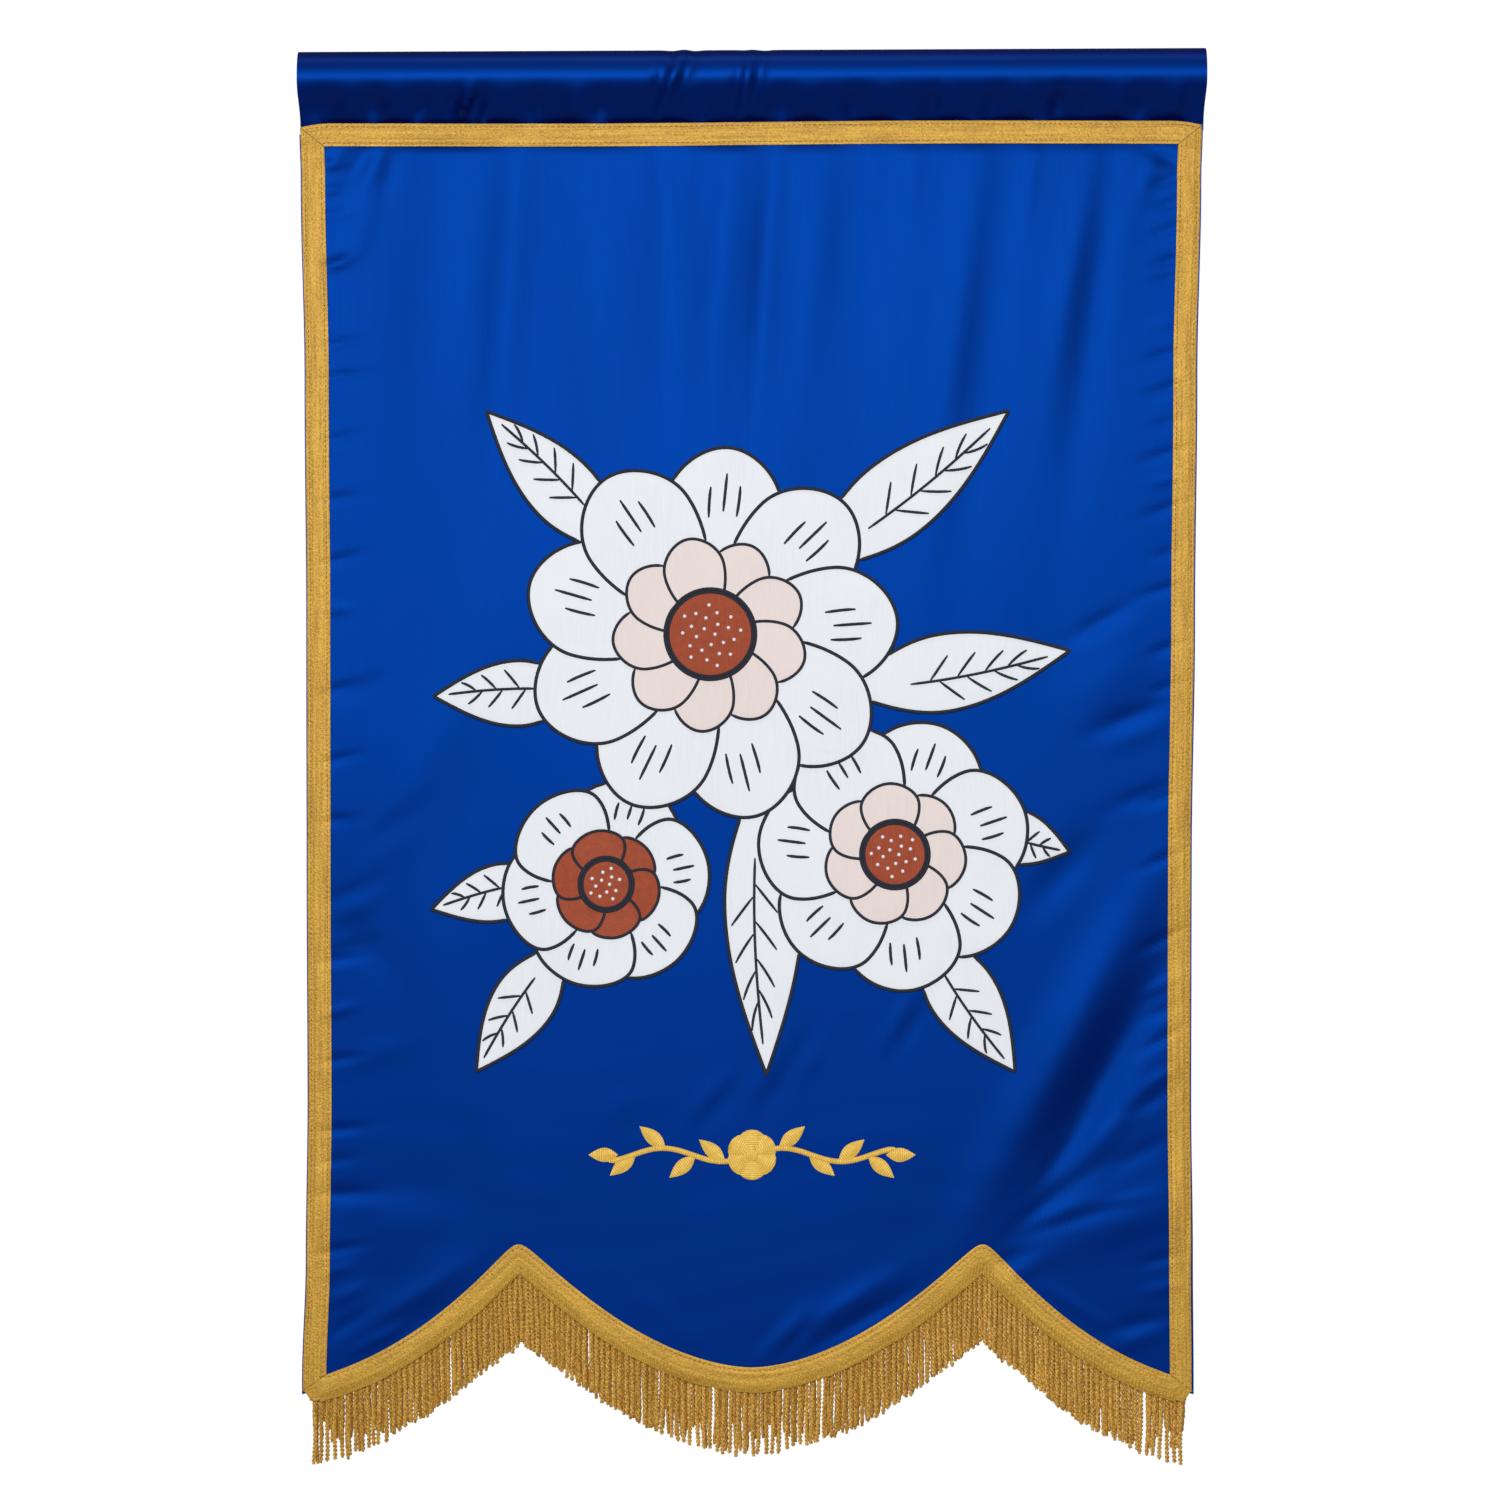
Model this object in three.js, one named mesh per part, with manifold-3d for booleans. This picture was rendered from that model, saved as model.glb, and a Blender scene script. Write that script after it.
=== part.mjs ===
// A hanging satin banner: a fitted panel under a rod sleeve, edged with flat braid and finished with a cord fringe
// along a scalloped hem, with an appliqued spray of flowers and a small gold ornament on its face.
// Units are millimetres. X runs along the rod, Z is up and the face looks towards -Y.
// The origin is the middle of the sleeve's inner crown, where a rod carries the banner.
import * as THREE from "three";
import { mergeVertices } from "three/addons/utils/BufferGeometryUtils.js";
import Module from "manifold-3d";

const wasm = await Module();
wasm.setup();

// Driving dimensions
const CLOTH_THICK = 1.2;
const SEWN_GAP = 0.3;
const SLEEVE_LENGTH = 610;
const SLEEVE_BORE_RADIUS = 13.8;
const SLEEVE_RISE = 2.7;
const SEAM_DEPTH = 45.6;
const LIP_DEPTH = 8.5;
const NOMINAL_HALF_WIDTH = 300;
const BRAID_WIDTH = 15.5;
const BRAID_THICK = 1.5;
const BRAID_SET_IN = 1.2;
const BRAID_TOP_DEPTH = 47.4;
const CUT_BEHIND_BRAID = 9;
const FRINGE_DROP = 43;
const FRINGE_PITCH = 5.2;
const STRAND_RADIUS = 1.35;
const APPLIQUE_THICK = 1;
const GOLD_THICK = 1.2;

const FACE_Y = -CLOTH_THICK / 2;
const BACK_Y = CLOTH_THICK / 2;
const LIP_TOP = -SEAM_DEPTH;
const LIP_BOTTOM = -SEAM_DEPTH - LIP_DEPTH;
const PANEL_TOP = LIP_BOTTOM - SEWN_GAP;

// Half widths of the hanging banner at depths below the rod: it draws in below the sleeve and flares at the corners.
const SIDE_EDGES = [
  { depth: 45, left: 304.8, right: 303.6 },
  { depth: 86, left: 303.5, right: 302.2 },
  { depth: 221, left: 300.8, right: 299.4 },
  { depth: 382, left: 299.6, right: 297.8 },
  { depth: 544, left: 299.4, right: 295.6 },
  { depth: 705, left: 298.9, right: 295.4 },
  { depth: 813, left: 300.2, right: 296.6 },
  { depth: 894, left: 302.8, right: 297.2 },
  { depth: 960, left: 302.8, right: 297.2 },
];

// The hem's curve: two peaks, with a hanging lobe between them and half a lobe outside each.
const HEM = { peakAt: 157, peakDepth: 802.2, peakRound: 6 };
const INNER_LOBE = { depth: 82.9, run: 152.1, bend: 1.8 };
const OUTER_LOBE = { depth: 98, run: 200, bend: 2.4 };

// Soft folds of the hanging panel. A ridge stands out towards -Y, a trough has a negative height, and turn is the
// fold's lean from upright in degrees, clockwise seen from the front.
const FOLDS = [
  { at: -214, depth: 150, turn: 2, reach: 130, halfWidth: 24, height: 2.2 },
  { at: -168, depth: 170, turn: 1, reach: 150, halfWidth: 14, height: -1.8 },
  { at: -108, depth: 160, turn: -2, reach: 110, halfWidth: 26, height: 1.6 },
  { at: -12, depth: 150, turn: 2, reach: 150, halfWidth: 16, height: 2.2 },
  { at: 66, depth: 170, turn: 0, reach: 150, halfWidth: 30, height: -1.4 },
  { at: 140, depth: 190, turn: 3, reach: 170, halfWidth: 18, height: 2.4 },
  { at: 214, depth: 230, turn: 3, reach: 170, halfWidth: 26, height: -2.6 },
  { at: -238, depth: 500, turn: 28, reach: 90, halfWidth: 26, height: 3.0 },
  { at: -262, depth: 600, turn: -48, reach: 46, halfWidth: 15, height: -2.4 },
  { at: 205, depth: 660, turn: 31, reach: 150, halfWidth: 30, height: 4.6 },
  { at: 232, depth: 720, turn: 31, reach: 150, halfWidth: 26, height: -5.4 },
  { at: 268, depth: 760, turn: 66, reach: 46, halfWidth: 16, height: 2.6 },
  { at: -258, depth: 768, turn: 84, reach: 60, halfWidth: 14, height: -2.2 },
  { at: -236, depth: 845, turn: 48, reach: 56, halfWidth: 13, height: 2.4 },
  { at: 52, depth: 850, turn: 50, reach: 60, halfWidth: 15, height: 2.0 },
];
const HANG_BOW = 4;
const FOLD_FADE = 34;

// Where the grid lines of the panel run
const COLUMNS_PER_FLANK = 8;
const PANEL_ROWS = 26;
const BELOW_CUT = [10, 24];

const satinBlue = new THREE.MeshStandardMaterial({ color: 0x0b3f9c, roughness: 0.42, metalness: 0 });
const goldBraid = new THREE.MeshStandardMaterial({ color: 0xc79f41, roughness: 0.55, metalness: 0.25 });
const goldCord = new THREE.MeshStandardMaterial({ color: 0xb98a2e, roughness: 0.6, metalness: 0.2 });
const whiteSatin = new THREE.MeshStandardMaterial({ color: 0xe4e7ee, roughness: 0.5, metalness: 0 });
const rustThread = new THREE.MeshStandardMaterial({ color: 0xa8481f, roughness: 0.7, metalness: 0 });
const goldThread = new THREE.MeshStandardMaterial({ color: 0xdab040, roughness: 0.5, metalness: 0.15 });

const banner = new THREE.Group();
banner.name = "banner";

// Small helpers for numbers
const degrees = THREE.MathUtils.degToRad;
const smooth = THREE.MathUtils.smoothstep;

function evenly(from, to, parts) {
  return Array.from({ length: parts + 1 }, (_, i) => from + ((to - from) * i) / parts);
}

function halfWidth(side, z) {
  const depth = -z;
  const next = SIDE_EDGES.findIndex((row) => row.depth >= depth);
  if (next === 0) return SIDE_EDGES[0][side];
  if (next < 0) return SIDE_EDGES[SIDE_EDGES.length - 1][side];
  const a = SIDE_EDGES[next - 1];
  const b = SIDE_EDGES[next];
  return THREE.MathUtils.lerp(a[side], b[side], smooth(depth, a.depth, b.depth));
}

// A place on the flat cut, u, to its x on the hanging banner
function hangingX(u, z) {
  return (u * halfWidth(u < 0 ? "left" : "right", z)) / NOMINAL_HALF_WIDTH;
}

// The sleeve and the seam rise a little towards the right
function rise(u) {
  return (SLEEVE_RISE * u) / SLEEVE_LENGTH;
}

// The upper edge of the hem's braid
function hemZ(u) {
  const fromPeak = Math.abs(Math.abs(u) - HEM.peakAt);
  const along = Math.hypot(fromPeak, HEM.peakRound) - HEM.peakRound;
  const lobe = Math.abs(u) < HEM.peakAt ? INNER_LOBE : OUTER_LOBE;
  const left = Math.max(0, 1 - along / lobe.run);
  return -HEM.peakDepth - lobe.depth * (1 - Math.pow(left, lobe.bend));
}

// The hem's curve moved down square to itself: the lowest reach of a disc rolled along it
function loweredHemZ(u, by) {
  const reach = (aside) => Math.sqrt(Math.max(0, by * by - aside * aside));
  return Math.min(...evenly(-by, by, 24).map((aside) => hemZ(u + aside) - reach(aside)));
}

// How far the hanging cloth stands out of its plane: a slight bow, and the folds, all fading at the stiff seam
function foldY(u, z) {
  const depth = -z;
  const bow = -HANG_BOW * Math.sin((Math.PI * depth) / (HEM.peakDepth + INNER_LOBE.depth));
  const folds = FOLDS.reduce((sum, fold) => {
    const aside = u - fold.at;
    const down = depth - fold.depth;
    const turn = degrees(fold.turn);
    const along = (down * Math.cos(turn) - aside * Math.sin(turn)) / fold.reach;
    const across = (aside * Math.cos(turn) + down * Math.sin(turn)) / fold.halfWidth;
    return sum - fold.height * Math.exp(-along * along - across * across);
  }, 0);
  return (bow + folds) * smooth(depth, -PANEL_TOP, -PANEL_TOP + FOLD_FADE);
}

// Solids: three.js makes the shapes, and the solid library only cuts and joins them
function welded(geometry) {
  const bare = new THREE.BufferGeometry().setAttribute("position", geometry.getAttribute("position"));
  if (geometry.index) bare.setIndex(geometry.index);
  return mergeVertices(bare, 1e-4);
}

function solidFrom(geometry) {
  const closed = welded(geometry);
  return new wasm.Manifold(
    new wasm.Mesh({
      numProp: 3,
      vertProperties: new Float32Array(closed.attributes.position.array),
      triVerts: new Uint32Array(closed.index.array),
    }),
  );
}

function addMesh(name, solid, material) {
  const made = solid.getMesh();
  const geometry = new THREE.BufferGeometry();
  geometry.setAttribute("position", new THREE.BufferAttribute(new Float32Array(made.vertProperties), 3));
  geometry.setIndex(new THREE.BufferAttribute(new Uint32Array(made.triVerts), 1));
  geometry.computeVertexNormals();
  const mesh = new THREE.Mesh(geometry, material);
  mesh.name = name;
  banner.add(mesh);
}

// A straight-sided cutter through the whole banner, from an outline of [x, z] points
function cutter(outline) {
  const reach = 40;
  const shape = new THREE.Shape(outline.map(([x, z]) => new THREE.Vector2(x, z)));
  const geometry = new THREE.ExtrudeGeometry(shape, { depth: reach, bevelEnabled: false });
  geometry.rotateX(Math.PI / 2).translate(0, reach / 2, 0);
  return solidFrom(geometry);
}

// Columns bunch towards the hem's peaks, where its curve is tightest
function columnPlaces() {
  const flank = (from, to, peakAtEnd) =>
    evenly(0, 1, COLUMNS_PER_FLANK).map((t) => {
      const eased = peakAtEnd ? Math.sin((t * Math.PI) / 2) : 1 - Math.cos((t * Math.PI) / 2);
      return from + (to - from) * THREE.MathUtils.lerp(t, eased, 0.6);
    });
  const peak = HEM.peakAt;
  const edge = NOMINAL_HALF_WIDTH;
  return [
    ...flank(-edge, -peak, true),
    ...flank(-peak, 0, false).slice(1),
    ...flank(0, peak, true).slice(1),
    ...flank(peak, edge, false).slice(1),
  ];
}
const COLUMNS = columnPlaces();

// A list of places with a new one halfway between each two
function finer(places) {
  return places.flatMap((place, i) => (i === 0 ? [place] : [(places[i - 1] + place) / 2, place]));
}

// The z of each grid line at one column, from above the seam to below the cut hem
function rowPlaces(u) {
  const top = PANEL_TOP + rise(u);
  const cut = loweredHemZ(u, CUT_BEHIND_BRAID);
  return [top + 10, ...evenly(top, cut, PANEL_ROWS), ...BELOW_CUT.map((down) => cut - down)];
}
const FIRST_PANEL_ROW = 1;
const LAST_PANEL_ROW = FIRST_PANEL_ROW + PANEL_ROWS;
const LAST_ROW = LAST_PANEL_ROW + BELOW_CUT.length;

// A closed sheet on the grid's lines between two rows, from one distance out of the cloth's middle to another
function foldedSheet(firstRow, lastRow, frontY, backY) {
  const grid = COLUMNS.map((u) =>
    rowPlaces(u)
      .slice(firstRow, lastRow + 1)
      .map((z) => [hangingX(u, z), foldY(u, z), z]),
  );
  const across = grid.length;
  const down = grid[0].length;
  const positions = [frontY, backY].flatMap((out) => grid.flat().flatMap(([x, y, z]) => [x, y + out, z]));
  const index = [];
  const quad = (a, b, c, d) => index.push(a, b, c, a, c, d);
  const front = (i, j) => i * down + j;
  const back = (i, j) => across * down + front(i, j);
  for (let i = 0; i < across - 1; i++) {
    for (let j = 0; j < down - 1; j++) {
      quad(front(i, j), front(i, j + 1), front(i + 1, j + 1), front(i + 1, j));
      quad(back(i, j), back(i + 1, j), back(i + 1, j + 1), back(i, j + 1));
    }
    quad(front(i, 0), front(i + 1, 0), back(i + 1, 0), back(i, 0));
    quad(front(i, down - 1), back(i, down - 1), back(i + 1, down - 1), front(i + 1, down - 1));
  }
  for (let j = 0; j < down - 1; j++) {
    const last = across - 1;
    quad(front(0, j), back(0, j), back(0, j + 1), front(0, j + 1));
    quad(front(last, j), front(last, j + 1), back(last, j + 1), back(last, j));
  }
  const geometry = new THREE.BufferGeometry();
  geometry.setAttribute("position", new THREE.Float32BufferAttribute(positions, 3));
  geometry.setIndex(index);
  return solidFrom(geometry);
}

// The satin panel, cut behind the hem's braid
function makePanel() {
  addMesh("satin_panel", foldedSheet(FIRST_PANEL_ROW, LAST_PANEL_ROW, FACE_Y, BACK_Y), satinBlue);
}

// The sleeve: the cloth turned back over the rod, both layers sewn together at a lip behind the top braid
function sleeveProfile() {
  const centreZ = -SLEEVE_BORE_RADIUS;
  const outerRadius = SLEEVE_BORE_RADIUS + CLOTH_THICK;
  const arcParts = 12;
  const lipBackY = BACK_Y + CLOTH_THICK;
  // The angle, from straight up, at which a straight wall to a point below leaves a circle about the bore's centre
  const leaves = (y, z, radius) => {
    const toCentre = Math.hypot(y, z - centreZ);
    return Math.PI - Math.acos(radius / toCentre) - Math.atan2(Math.abs(y), centreZ - z);
  };
  const arc = (radius, frontAngle, backAngle) =>
    evenly(-frontAngle, backAngle, arcParts).map(
      (angle) => new THREE.Vector2(radius * Math.sin(angle), centreZ + radius * Math.cos(angle)),
    );
  const outer = [
    new THREE.Vector2(FACE_Y, LIP_BOTTOM),
    new THREE.Vector2(FACE_Y, LIP_TOP),
    ...arc(outerRadius, leaves(FACE_Y, LIP_TOP, outerRadius), leaves(lipBackY, LIP_TOP, outerRadius)),
    new THREE.Vector2(lipBackY, LIP_TOP),
    new THREE.Vector2(lipBackY, LIP_BOTTOM),
  ];
  const apex = new THREE.Vector2(BACK_Y, LIP_TOP + 2 * CLOTH_THICK);
  const apexAngle = leaves(apex.x, apex.y, SLEEVE_BORE_RADIUS);
  const profile = new THREE.Shape(outer.reverse());
  profile.holes.push(new THREE.Path([apex, ...arc(SLEEVE_BORE_RADIUS, apexAngle, apexAngle)]));
  return profile;
}

function makeSleeve() {
  const stations = 14;
  const geometry = new THREE.ExtrudeGeometry(sleeveProfile(), {
    depth: SLEEVE_LENGTH,
    steps: stations,
    bevelEnabled: false,
  });
  // The profile's plane becomes Y and Z, and the extrusion runs along X
  geometry.applyMatrix4(new THREE.Matrix4().set(0, 0, 1, -SLEEVE_LENGTH / 2, 1, 0, 0, 0, 0, 1, 0, 0, 0, 0, 0, 1));
  const place = geometry.getAttribute("position");
  for (let i = 0; i < place.count; i++) {
    const [x, y, z] = [place.getX(i), place.getY(i), place.getZ(i)];
    // The ends draw in towards the seam, and the walls between the rod and the seam are a little slack
    const drawIn = 1 - 0.008 * smooth(-z, 20, SEAM_DEPTH);
    const slackShare = smooth(-z, 18, 28) * (1 - smooth(-z, 32, SEAM_DEPTH));
    const slack = 1.1 * slackShare * Math.sin(x / 23) * Math.cos(x / 61);
    place.setXYZ(i, x * drawIn, y + slack, z + rise(x));
  }
  addMesh("rod_sleeve", solidFrom(geometry), satinBlue);
}

// The braid is cut from a sheet that lies on the panel's face
const braidStock = foldedSheet(0, LAST_ROW, FACE_Y - SEWN_GAP - BRAID_THICK, FACE_Y - SEWN_GAP);

function braidTopZ(u) {
  const droopFrom = NOMINAL_HALF_WIDTH - 22;
  const droop = 3 * Math.pow(Math.max(0, Math.abs(u) - droopFrom) / 22, 2);
  return -BRAID_TOP_DEPTH + rise(u) + 0.5 * Math.sin(u / 70) - droop;
}

// The four lengths of braid meet in mitres at the corners, a gap apart
function makeBraid() {
  const outer = NOMINAL_HALF_WIDTH - BRAID_SET_IN;
  const inner = outer - BRAID_WIDTH;
  const parts = 16;
  const parting = 2 * SEWN_GAP;
  const point = (u, z) => [hangingX(u, z), z];
  const lowestZ = (u) => loweredHemZ(u, BRAID_WIDTH);
  const cornerZ = lowestZ(outer) + 9;

  const upper = evenly(-outer, outer, parts).map((u) => point(u, braidTopZ(u)));
  const lower = evenly(inner, -inner, parts).map((u) => point(u, braidTopZ(u) - BRAID_WIDTH));
  addMesh("braid_top", braidStock.intersect(cutter([...upper, ...lower])), goldBraid);

  for (const [name, side] of [["braid_left", -1], ["braid_right", 1]]) {
    const topOuter = braidTopZ(side * outer) - parting;
    const topInner = braidTopZ(side * inner) - BRAID_WIDTH - parting;
    const outerEdge = evenly(topOuter, cornerZ, parts).map((z) => point(side * outer, z));
    const innerEdge = evenly(hemZ(inner) + SEWN_GAP, topInner, parts).map((z) => point(side * inner, z));
    const outline = [...outerEdge, ...innerEdge];
    addMesh(name, braidStock.intersect(cutter(side < 0 ? outline : outline.reverse())), goldBraid);
  }

  const along = finer(COLUMNS).filter((u) => Math.abs(u) < inner);
  const hemUpper = [-inner, ...along, inner].map((u) => point(u, hemZ(u) - SEWN_GAP));
  const hemLower = [1 - outer, ...along, outer - 1].map((u) => point(u, lowestZ(u))).reverse();
  const corner = (side) => point(side * outer, cornerZ - parting);
  const outline = [...hemUpper, corner(1), ...hemLower, corner(-1)];
  addMesh("braid_hem", braidStock.intersect(cutter(outline)), goldBraid);
}

// The fringe: cords hanging straight down from a narrow tape behind the hem's braid
function makeFringe() {
  const parting = 0.5;
  const tapeBottom = BRAID_WIDTH - 0.8;
  const end = NOMINAL_HALF_WIDTH - 5;
  const stock = foldedSheet(0, LAST_ROW, FACE_Y, BACK_Y + 0.4);
  // The tape's upper edge follows the panel's cut edge, point for point
  const upper = COLUMNS.map((u) => {
    const cut = loweredHemZ(u, CUT_BEHIND_BRAID);
    return [hangingX(u, cut), cut - parting];
  });
  const between = finer(COLUMNS).filter((u) => Math.abs(u) < end);
  const lower = [-end, ...between, end].map((u) => [hangingX(u, -900), loweredHemZ(u, tapeBottom)]).reverse();
  const pieces = [stock.intersect(cutter([...upper, ...lower]))];

  let walked = 0;
  let last = [-end + 2, loweredHemZ(-end + 2, tapeBottom)];
  let count = 0;
  for (let u = -end + 2; u <= end - 2; u += 0.5) {
    const here = [u, loweredHemZ(u, tapeBottom)];
    walked += Math.hypot(here[0] - last[0], here[1] - last[1]);
    last = here;
    if (walked < FRINGE_PITCH * count) continue;
    pieces.push(makeStrand(u, count));
    count += 1;
  }
  addMesh("fringe", wasm.Manifold.union(pieces), goldCord);
}

function makeStrand(u, number) {
  const rootZ = loweredHemZ(u, BRAID_WIDTH - 2.2);
  const unevenEnd = 1.6 * Math.sin(number * 1.7) + 1.2 * Math.sin(number * 0.37);
  const endZ = loweredHemZ(u, BRAID_WIDTH) - FRINGE_DROP + unevenEnd;
  const length = rootZ - endZ;
  const geometry = welded(new THREE.CylinderGeometry(STRAND_RADIUS * 0.9, STRAND_RADIUS, length, 4));
  geometry.rotateX(Math.PI / 2);
  const place = geometry.getAttribute("position");
  const sway = 1.4 * Math.sin(number * 0.31);
  const lean = 1.6 * Math.sin(number * 0.23 + 1);
  const middleY = foldY(u, rootZ) + FACE_Y + STRAND_RADIUS;
  for (let i = 0; i < place.count; i++) {
    const down = 0.5 - place.getZ(i) / length;
    const x = hangingX(u, rootZ) + place.getX(i) + sway * down;
    place.setXYZ(i, x, middleY + place.getY(i) + lean * down, rootZ - down * length);
  }
  return solidFrom(geometry);
}

// Applique: the spray of flowers and leaves in one cut of white cloth, and a round of rust cloth in each flower
const appliqueStock = foldedSheet(
  FIRST_PANEL_ROW,
  LAST_PANEL_ROW,
  FACE_Y - SEWN_GAP - APPLIQUE_THICK,
  FACE_Y - SEWN_GAP,
);
const centreStock = foldedSheet(
  FIRST_PANEL_ROW,
  LAST_PANEL_ROW,
  FACE_Y - 2 * SEWN_GAP - 2 * APPLIQUE_THICK,
  FACE_Y - 2 * SEWN_GAP - APPLIQUE_THICK,
);
const goldStock = foldedSheet(
  FIRST_PANEL_ROW,
  LAST_PANEL_ROW,
  FACE_Y - SEWN_GAP - GOLD_THICK,
  FACE_Y - SEWN_GAP,
);

const FLOWERS = [
  { name: "large", at: -28, depth: 392, radius: 126, petals: 9, turn: 6 },
  { name: "middle", at: 96, depth: 540, radius: 92, petals: 7, turn: 20 },
  { name: "small", at: -98, depth: 560, radius: 70, petals: 6, turn: 18 },
];
// Leaves start behind the flowers; turn is from straight up, clockwise
const LEAVES = [
  { at: 34, depth: 350, turn: 52, length: 176, width: 54 },
  { at: -84, depth: 340, turn: -44, length: 136, width: 46 },
  { at: -110, depth: 430, turn: -92, length: 104, width: 44 },
  { at: 60, depth: 430, turn: 80, length: 156, width: 52 },
  { at: 150, depth: 520, turn: 106, length: 66, width: 36 },
  { at: 112, depth: 590, turn: 146, length: 116, width: 46 },
  { at: 6, depth: 480, turn: 179, length: 208, width: 52 },
  { at: -126, depth: 598, turn: -146, length: 106, width: 42 },
  { at: -132, depth: 556, turn: -104, length: 86, width: 38 },
];

// A leaf or petal outline from a point, along a turned direction, widest at a share of its length
function bladeOutline({ at, depth, turn, length, width, widest = 0.45, blunt = 0, steps = 7 }) {
  const direction = degrees(turn);
  const halfAt = (t) => {
    if (t < widest) return (width / 2) * Math.sin(((t / widest) * Math.PI) / 2);
    const past = (t - widest) / (1 - widest);
    const pointed = Math.cos((past * Math.PI) / 2);
    const round = Math.sqrt(Math.max(0, 1 - past * past));
    return (width / 2) * THREE.MathUtils.lerp(pointed, round, blunt);
  };
  const place = (t, aside) => [
    at + length * t * Math.sin(direction) + aside * Math.cos(direction),
    -depth + length * t * Math.cos(direction) - aside * Math.sin(direction),
  ];
  const rightEdge = evenly(0, 1, steps).map((t) => place(t, halfAt(t)));
  const leftEdge = evenly(0, 1, steps).slice(1, -1).reverse().map((t) => place(t, -halfAt(t)));
  return [...rightEdge, ...leftEdge].reverse();
}

function roundOutline(at, depth, radius, parts) {
  return evenly(0, 2 * Math.PI, parts)
    .slice(0, -1)
    .map((angle) => [at + radius * Math.cos(angle), -depth + radius * Math.sin(angle)]);
}

function petalBlades(flower) {
  const share = 360 / flower.petals;
  const width = 2.3 * flower.radius * Math.tan(degrees(share / 2)) * 0.74;
  return evenly(0, 360 - share, flower.petals - 1).map((turn) => ({
    at: flower.at,
    depth: flower.depth,
    turn: turn + flower.turn,
    length: flower.radius,
    width,
    widest: 0.68,
    blunt: 0.85,
    steps: flower.steps,
  }));
}

function makeSpray() {
  const blades = [...LEAVES, ...FLOWERS.flatMap(petalBlades)];
  const hubs = FLOWERS.map((flower) => roundOutline(flower.at, flower.depth, flower.radius * 0.5, 18));
  const cut = wasm.Manifold.union([...hubs, ...blades.map(bladeOutline)].map(cutter));
  addMesh("applique_spray", appliqueStock.intersect(cut), whiteSatin);
  for (const flower of FLOWERS) {
    const disc = cutter(roundOutline(flower.at, flower.depth, flower.radius * 0.22, 18));
    addMesh("flower_centre_" + flower.name, centreStock.intersect(disc), rustThread);
  }
}

// The gold garland under the spray: a waved stem with leaves to each side of a small flower
const GARLAND = { depth: 742, reach: 110, wave: 4.5, stem: 3.6, leafLength: 23, leafWidth: 9.6, pitch: 20 };

function makeGarland() {
  const { depth, reach, wave, stem, leafLength, leafWidth, pitch } = GARLAND;
  const waveAt = (x) => wave * Math.sin((x * Math.PI) / (2 * pitch)) - depth;
  const stemSide = (up) => evenly(-reach + 14, reach - 14, 16).map((x) => [x, waveAt(x) + (up * stem) / 2]);
  const outlines = [[...stemSide(1).reverse(), ...stemSide(-1)]];
  for (const sign of [-1, 1]) {
    for (const [number, up] of [1, -1, 1, -1].entries()) {
      const at = sign * (pitch * (number + 0.9));
      const turn = sign * (up > 0 ? 50 : 130);
      outlines.push(bladeOutline({ at, depth: -waveAt(at), turn, length: leafLength, width: leafWidth, steps: 5 }));
    }
    const tip = { at: sign * (reach - 20), depth, turn: sign * 90, length: 20, width: leafWidth, steps: 5 };
    outlines.push(bladeOutline(tip));
  }
  const flower = { at: 0, depth, radius: 17, petals: 6, turn: 0, steps: 5 };
  outlines.push(roundOutline(0, depth, 6, 12), ...petalBlades(flower).map(bladeOutline));
  const cut = wasm.Manifold.union(outlines.map(cutter));
  addMesh("gold_garland", goldStock.intersect(cut), goldThread);
}

makePanel();
makeSleeve();
makeBraid();
makeFringe();
makeSpray();
makeGarland();

export default banner;
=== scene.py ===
# %% [markdown]
# A hanging lodge banner, sewn from satin, braid and cord.
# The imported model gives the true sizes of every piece: the panel, the rod sleeve, the braid, the fringe and the
# applique. This lesson dresses that frame: each plain solid is replaced by a finely creased, stitched or twisted one
# in its place.

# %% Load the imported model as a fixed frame
import math
import random

import bmesh
import bpy
import numpy as np
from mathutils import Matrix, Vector


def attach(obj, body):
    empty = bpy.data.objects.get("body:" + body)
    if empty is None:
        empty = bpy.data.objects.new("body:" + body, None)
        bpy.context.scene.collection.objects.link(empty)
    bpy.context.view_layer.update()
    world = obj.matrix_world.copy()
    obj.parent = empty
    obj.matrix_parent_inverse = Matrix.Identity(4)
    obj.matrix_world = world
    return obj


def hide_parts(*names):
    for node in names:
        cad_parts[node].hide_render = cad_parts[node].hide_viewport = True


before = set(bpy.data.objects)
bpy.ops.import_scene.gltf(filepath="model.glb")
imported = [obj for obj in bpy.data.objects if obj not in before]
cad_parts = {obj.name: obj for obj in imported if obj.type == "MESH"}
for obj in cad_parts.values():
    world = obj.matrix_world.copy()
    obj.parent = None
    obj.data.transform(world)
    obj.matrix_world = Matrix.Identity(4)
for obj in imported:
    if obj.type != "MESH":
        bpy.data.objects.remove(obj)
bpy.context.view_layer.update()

MM = 0.001
print("nodes in the frame:", ", ".join(sorted(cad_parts)))

# %% [markdown]
# The camera comes first, and it takes the photograph's view.
# The banner was photographed square on and from far away, so a long lens is used, and the picture's scale is one
# number: how many millimetres of banner one pixel covers. The middle of the sleeve's top edge is the point that is
# matched.

# %% Camera
PHOTO_SIDE = 1501
MM_PER_PIXEL = 0.673
TOP_MIDDLE_PIXEL = (752, 52)
CAMERA_DISTANCE = 3200
SENSOR_WIDTH = 36

picture_width = PHOTO_SIDE * MM_PER_PIXEL
aim_x = (PHOTO_SIDE / 2 - TOP_MIDDLE_PIXEL[0]) * MM_PER_PIXEL
aim_z = (TOP_MIDDLE_PIXEL[1] - PHOTO_SIDE / 2) * MM_PER_PIXEL

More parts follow.
